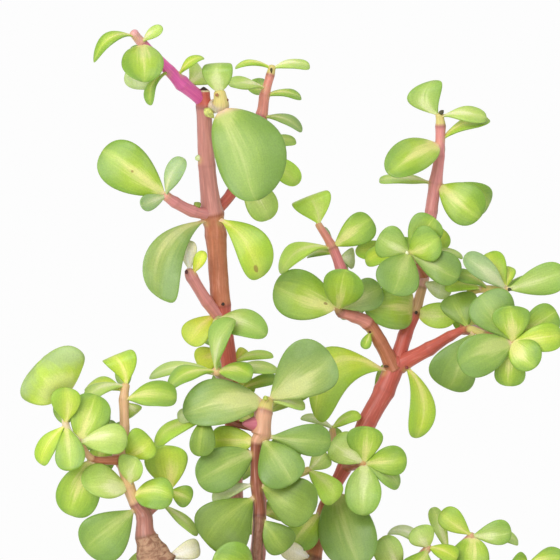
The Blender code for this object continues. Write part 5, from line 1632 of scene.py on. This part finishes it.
def worn_profile(corners):
    """The profile through (r, z, rounding) corners, each rounded off, with points in between."""
    points = [Vector(corners[0][:2])]
    for before, corner, after in zip(corners, corners[1:], corners[2:]):
        here = Vector(corner[:2])
        start = here + (Vector(before[:2]) - here).normalized() * corner[2]
        end = here + (Vector(after[:2]) - here).normalized() * corner[2]
        points += [start.lerp(here, t).lerp(here.lerp(end, t), t) for t in WORN]
    points.append(Vector(corners[-1][:2]))
    filled = [points[0]]
    for point in points[1:]:
        pieces = max(1, math.ceil((point - filled[-1]).length / PROFILE_STEP))
        start = filled[-1]
        filled += [start.lerp(point, (k + 1) / pieces) for k in range(pieces)]
    return filled


band_foot = POT_HEIGHT - POT_RIM_BAND
mouth = inner_radius(POT_HEIGHT)
pot_profile = worn_profile([
    (0, 0, 0), (POT_FOOT_RADIUS, 0, 1.6), (POT_BODY_RADIUS, band_foot, 0.7),
    (POT_RIM_RADIUS - 0.3, band_foot + 0.9, 1.2), (POT_RIM_RADIUS, POT_HEIGHT, 2.0),
    (mouth, POT_HEIGHT, 1.8), (inner_radius(POT_FLOOR), POT_FLOOR, 2.5), (0, POT_FLOOR, 0)])
print("pot profile points:", len(pot_profile))

# %% A turned solid
POT_SIDES = 144


def turned_solid(name, profile, material, uneven):
    """A solid of revolution with a slightly uneven surface.  The profile ends on the axis."""
    rings = []
    for r, z in profile[1:-1]:
        ring = []
        for i in range(POT_SIDES):
            angle = 2 * math.pi * i / POT_SIDES
            out = Vector((math.cos(angle), math.sin(angle), 0))
            off = noise.noise(out * 2 + Vector((0, 0, z / 18))) * uneven
            ring.append((out * (r + off) + Vector((0, 0, z))) * MM)
        rings.append(ring)
    start, end = (Vector((0, 0, p[1])) * MM for p in (profile[0], profile[-1]))
    return dressed_mesh(name, loft(rings, start, end), material)


print("points round the pot:", POT_SIDES)

# %% Pot material: fired_red_clay
CLAY_DARK, CLAY_PALE = "#A9583A", "#C4754F"
CLAY_SPECK = "#7E3D28"
LIME = "#E2D3C4"
CLAY_GRAIN = 0.6 * MM                   # sand in the clay is 0.1 to 0.5 mm; drawn a little coarse
LIME_PATCH = 22.0 * MM
TURNING = (40.0, 40.0, 900.0)           # the tool's marks: long round the pot, 1.1 mm apart
DAMP_FOOT = 0.030                       # metres up from the ground
DAMP_BAND = (0.064, 0.073)              # metres up, just under the band


def clay_skin():
    """Once-fired red clay with a chalky bloom near the foot and under the band."""
    material = bpy.data.materials.new("fired_red_clay")
    material.use_nodes = True
    tree = material.node_tree
    shader = tree.nodes["Principled BSDF"]
    spot = add_node(tree, "TexCoord").outputs["Object"]
    height = add_node(tree, "SeparateXYZ", (spot,)).outputs["Z"]
    clouds = add_node(tree, "TexNoise", {"Vector": spot, "Scale": 1 / LIME_PATCH, "Detail": 5.0,
                                         "Roughness": 0.6})
    grains = add_node(tree, "TexNoise", {"Vector": spot, "Scale": 1 / CLAY_GRAIN, "Detail": 2.0})
    rings = add_node(tree, "VectorMath", (spot, TURNING), operation="MULTIPLY")
    turning = add_node(tree, "TexNoise", {"Vector": rings, "Scale": 1.0})
    clouded = add_node(tree, "MapRange", (clouds, 0.3, 0.7), **SMOOTH)
    colour = add_node(tree, "Mix", {0: clouded, 6: linear(CLAY_DARK), 7: linear(CLAY_PALE)},
                      **PAINT)
    speck = add_node(tree, "MapRange", (grains, 0.62, 0.74, 0.0, 0.35), **SMOOTH)
    colour = add_node(tree, "Mix", {0: speck, 6: colour, 7: linear(CLAY_SPECK)}, **PAINT)
    low_down = add_node(tree, "MapRange", (height, DAMP_FOOT, 0.0), **SMOOTH)
    foot_lime = add_node(tree, "Math", (low_down, 0.55), operation="MULTIPLY")
    under_band = add_node(tree, "MapRange", (height, *DAMP_BAND), **SMOOTH)
    band_lime = add_node(tree, "Math", (under_band, 0.30), operation="MULTIPLY")
    damp = add_node(tree, "Math", (foot_lime, band_lime), operation="ADD")
    all_lime = add_node(tree, "Math", (damp, 0.12), operation="ADD")
    patchy = add_node(tree, "MapRange", (clouds, 0.42, 0.68), **SMOOTH)
    chalk = add_node(tree, "Math", (all_lime, patchy), operation="MULTIPLY")
    colour = add_node(tree, "Mix", {0: chalk, 6: colour, 7: linear(LIME)}, **PAINT)
    grain_relief = add_node(tree, "Math", (grains, 0.5), operation="MULTIPLY")
    turning_relief = add_node(tree, "Math", (turning, 0.5), operation="MULTIPLY")
    relief = add_node(tree, "Math", (grain_relief, turning_relief), operation="ADD")
    bump = add_node(tree, "Bump", {"Height": relief, "Strength": 0.35, "Distance": 0.0004})
    tree.links.new(colour.outputs[2], shader.inputs["Base Color"])
    tree.links.new(bump.outputs["Normal"], shader.inputs["Normal"])
    shader.inputs["Roughness"].default_value = 0.88
    return material


clay = clay_skin()
print("clay nodes:", len(clay.node_tree.nodes))

# %% Pot body and drain holes
POT_UNEVEN = 0.12                       # millimetres
SHARP_EDGE = math.radians(45)

pot = turned_solid("clay_pot", pot_profile, clay, POT_UNEVEN)
for k in range(DRAIN_HOLES):
    turn = 2 * math.pi * (k + 0.5) / DRAIN_HOLES
    bpy.ops.mesh.primitive_cylinder_add(
        vertices=32, radius=DRAIN_RADIUS * MM, depth=3 * POT_FLOOR * MM,
        location=(DRAIN_CIRCLE * MM * math.cos(turn), DRAIN_CIRCLE * MM * math.sin(turn), 0))
    cutter = bpy.context.object
    cut = pot.modifiers.new("drain", "BOOLEAN")
    cut.operation = "DIFFERENCE"
    cut.object = cutter
    bpy.context.view_layer.objects.active = pot
    bpy.ops.object.modifier_apply(modifier=cut.name)
    bpy.data.objects.remove(cutter)
pot.data.set_sharp_from_angle(angle=SHARP_EDGE)
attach(pot, "root")
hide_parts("pot")
print("pot faces:", len(pot.data.polygons))

# %% [markdown]
# ## Potting mix
# Succulents stand in a gritty mix: dark compost crumbs, chips of bark and white grains of
# pumice, so that water runs through.  The bed is a low mound with a crumbled surface, and the
# loose chips are small lumps, each knocked out of round, strewn over it but not through stems.
# Crumbs that only the shader drew would look painted on, so the larger ones are in the mesh.

# %% Surface of the potting mix
SOIL_TOP, SOIL_DOME = PLANT_FOOT.z, 2.0
CRUMB_HEIGHT, CRUMBS_PER_MM = 0.8, 0.35
bed_edge = inner_radius(SOIL_TOP) - GAP


def bed_height(x, y):
    """How high the mix stands at x, y, in millimetres: a low dome with crumbs."""
    out = min(math.hypot(x, y) / bed_edge, 1.0)
    crumbs = CRUMB_HEIGHT * noise.fractal(Vector((x, y, 0)) * CRUMBS_PER_MM, 0.7, 2.2, 4)
    return SOIL_TOP + SOIL_DOME * (1 - out * out) + crumbs * (1 - out ** 8)


print("the mix is", round(2 * bed_edge), "mm across and", round(bed_height(0, 0)), "mm up")

# %% Potting mix material: damp_compost and dry_chips
COMPOST_DARK, COMPOST_PALE = "#1F1510", "#5A3E2A"
COMPOST_CRUMB = MM / 0.42               # 2.4 mm, the usual size of sieved compost
CHIP_GRAIN = MM / 0.9                   # the pores of bark and pumice, about 1 mm


def crumb_skin(name, crumb, own_tint):
    """Crumbs: dark and matt, mottled at their own size, in one brown or each in its own tint."""
    material = bpy.data.materials.new(name)
    material.use_nodes = True
    tree = material.node_tree
    shader = tree.nodes["Principled BSDF"]
    spot = add_node(tree, "TexCoord").outputs["Object"]
    crumbs = add_node(tree, "TexNoise",
                      {"Vector": spot, "Scale": 1 / crumb, "Detail": 6.0, "Roughness": 0.7})
    if own_tint:
        base = add_node(tree, "Attribute", attribute_name="tint").outputs["Color"]
    else:
        brown = add_node(tree, "MapRange", (crumbs, 0.35, 0.65), **SMOOTH)
        base = add_node(tree, "Mix", {0: brown, 6: linear(COMPOST_DARK), 7: linear(COMPOST_PALE)},
                        **PAINT)
    mottle = add_node(tree, "MapRange", (crumbs, 0.3, 0.7, 0.7, 1.25), **SMOOTH)
    tree.links.new(shaded(tree, base, mottle).outputs[2], shader.inputs["Base Color"])
    bump = add_node(tree, "Bump", {"Height": crumbs, "Strength": 0.6, "Distance": 0.0006})
    tree.links.new(bump.outputs["Normal"], shader.inputs["Normal"])
    shader.inputs["Roughness"].default_value = 0.92
    return material


compost = crumb_skin("damp_compost", COMPOST_CRUMB, False)
dry_chips = crumb_skin("dry_chips", CHIP_GRAIN, True)
print("compost nodes:", len(compost.node_tree.nodes), "chip nodes:",
      len(dry_chips.node_tree.nodes))

# %% Bed of potting mix
BED_RINGS, BED_SIDES = 60, 160
BED_DEPTH = 6                           # millimetres of the mix that are built under its surface
BED_TAPER = 0.98                        # how much narrower it is down there

bottom = (SOIL_TOP - BED_DEPTH) * MM
turns = [2 * math.pi * i / BED_SIDES for i in range(BED_SIDES)]
bed_rings = [[Vector((bed_edge * MM * BED_TAPER * math.cos(a),
                      bed_edge * MM * BED_TAPER * math.sin(a), bottom)) for a in turns]]
for k in range(BED_RINGS):
    r = bed_edge * (1 - k / BED_RINGS) ** 0.9
    places = [(r * math.cos(a), r * math.sin(a)) for a in turns]
    bed_rings.append([Vector((x, y, bed_height(x, y))) * MM for x, y in places])
bed_shape = loft(bed_rings, Vector((0, 0, bottom)), Vector((0, 0, bed_height(0, 0) * MM)))
bed = dressed_mesh("potting_mix_bed", bed_shape, compost)
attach(bed, "root")
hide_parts("soil")
print("bed faces:", len(bed.data.polygons))

# %% One loose chip
CHIP_KNOCK = 0.45                       # how far out of round a chip is


def chip(place, size, flat, seed):
    """A lump knocked out of round: a small ball of triangles pushed about by noise."""
    ball = bmesh.new()
    bmesh.ops.create_icosphere(ball, subdivisions=2, radius=1.0)
    turn = Matrix.Rotation(seed * 1.7, 3, "Z") @ Matrix.Rotation(seed * 0.9 % 0.6, 3, "X")
    verts = []
    for v in ball.verts:
        knocked = v.co * (1 + CHIP_KNOCK * noise.noise(v.co * 1.3 + Vector((seed, 0, 0))))
        knocked = Vector((knocked.x * size, knocked.y * size * 0.7, knocked.z * size * flat))
        verts.append((place + turn @ knocked) * MM)
    faces = [tuple(v.index for v in face.verts) for face in ball.faces]
    ball.free()
    return verts, faces


print("a chip has", len(chip(Vector(), 1.0, 0.5, 0.0)[1]), "faces")

# %% Strew the chips
CHIPS = 620
CHIP_TINTS = (["#4A3020"] * 4 + ["#6B4A30"] * 3 + ["#8A6848"] * 2 + ["#2E2019"] * 4
              + ["#D8D2C4", "#C9C0AE", "#E6E1D6"])
CHIP_MARGIN = 2.5                       # millimetres of bare mix along the pot
STEM_MARGIN = 5.5                       # and from the middle of a stem's foot

stem_feet = [plant_point(*branches[0][2][1][:3]) / MM for branches in STEMS.values()]
luck = random.Random(7)
chips, chip_tints = [], []
while len(chips) < CHIPS:
    r = (bed_edge - CHIP_MARGIN) * math.sqrt(luck.random())
    a = luck.uniform(0, 2 * math.pi)
    x, y = r * math.cos(a), r * math.sin(a)
    size = luck.uniform(0.5, 1.7) if luck.random() < 0.8 else luck.uniform(1.7, 2.6)
    seed = luck.uniform(0, 90)
    tint = luck.choice(CHIP_TINTS)
    if min(math.hypot(x - foot.x, y - foot.y) for foot in stem_feet) < STEM_MARGIN + size:
        continue
    place = Vector((x, y, bed_height(x, y) + size * 0.15))
    shape = chip(place, size, luck.uniform(0.35, 0.8), seed)
    chips.append(shape)
    chip_tints += [linear(tint)] * len(shape[0])
grit = dressed_mesh("bark_chips_and_pumice", merged(chips), dry_chips)
set_attribute(grit, "tint", "FLOAT_COLOR", chip_tints)
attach(grit, "root")
print("chips:", len(chips))
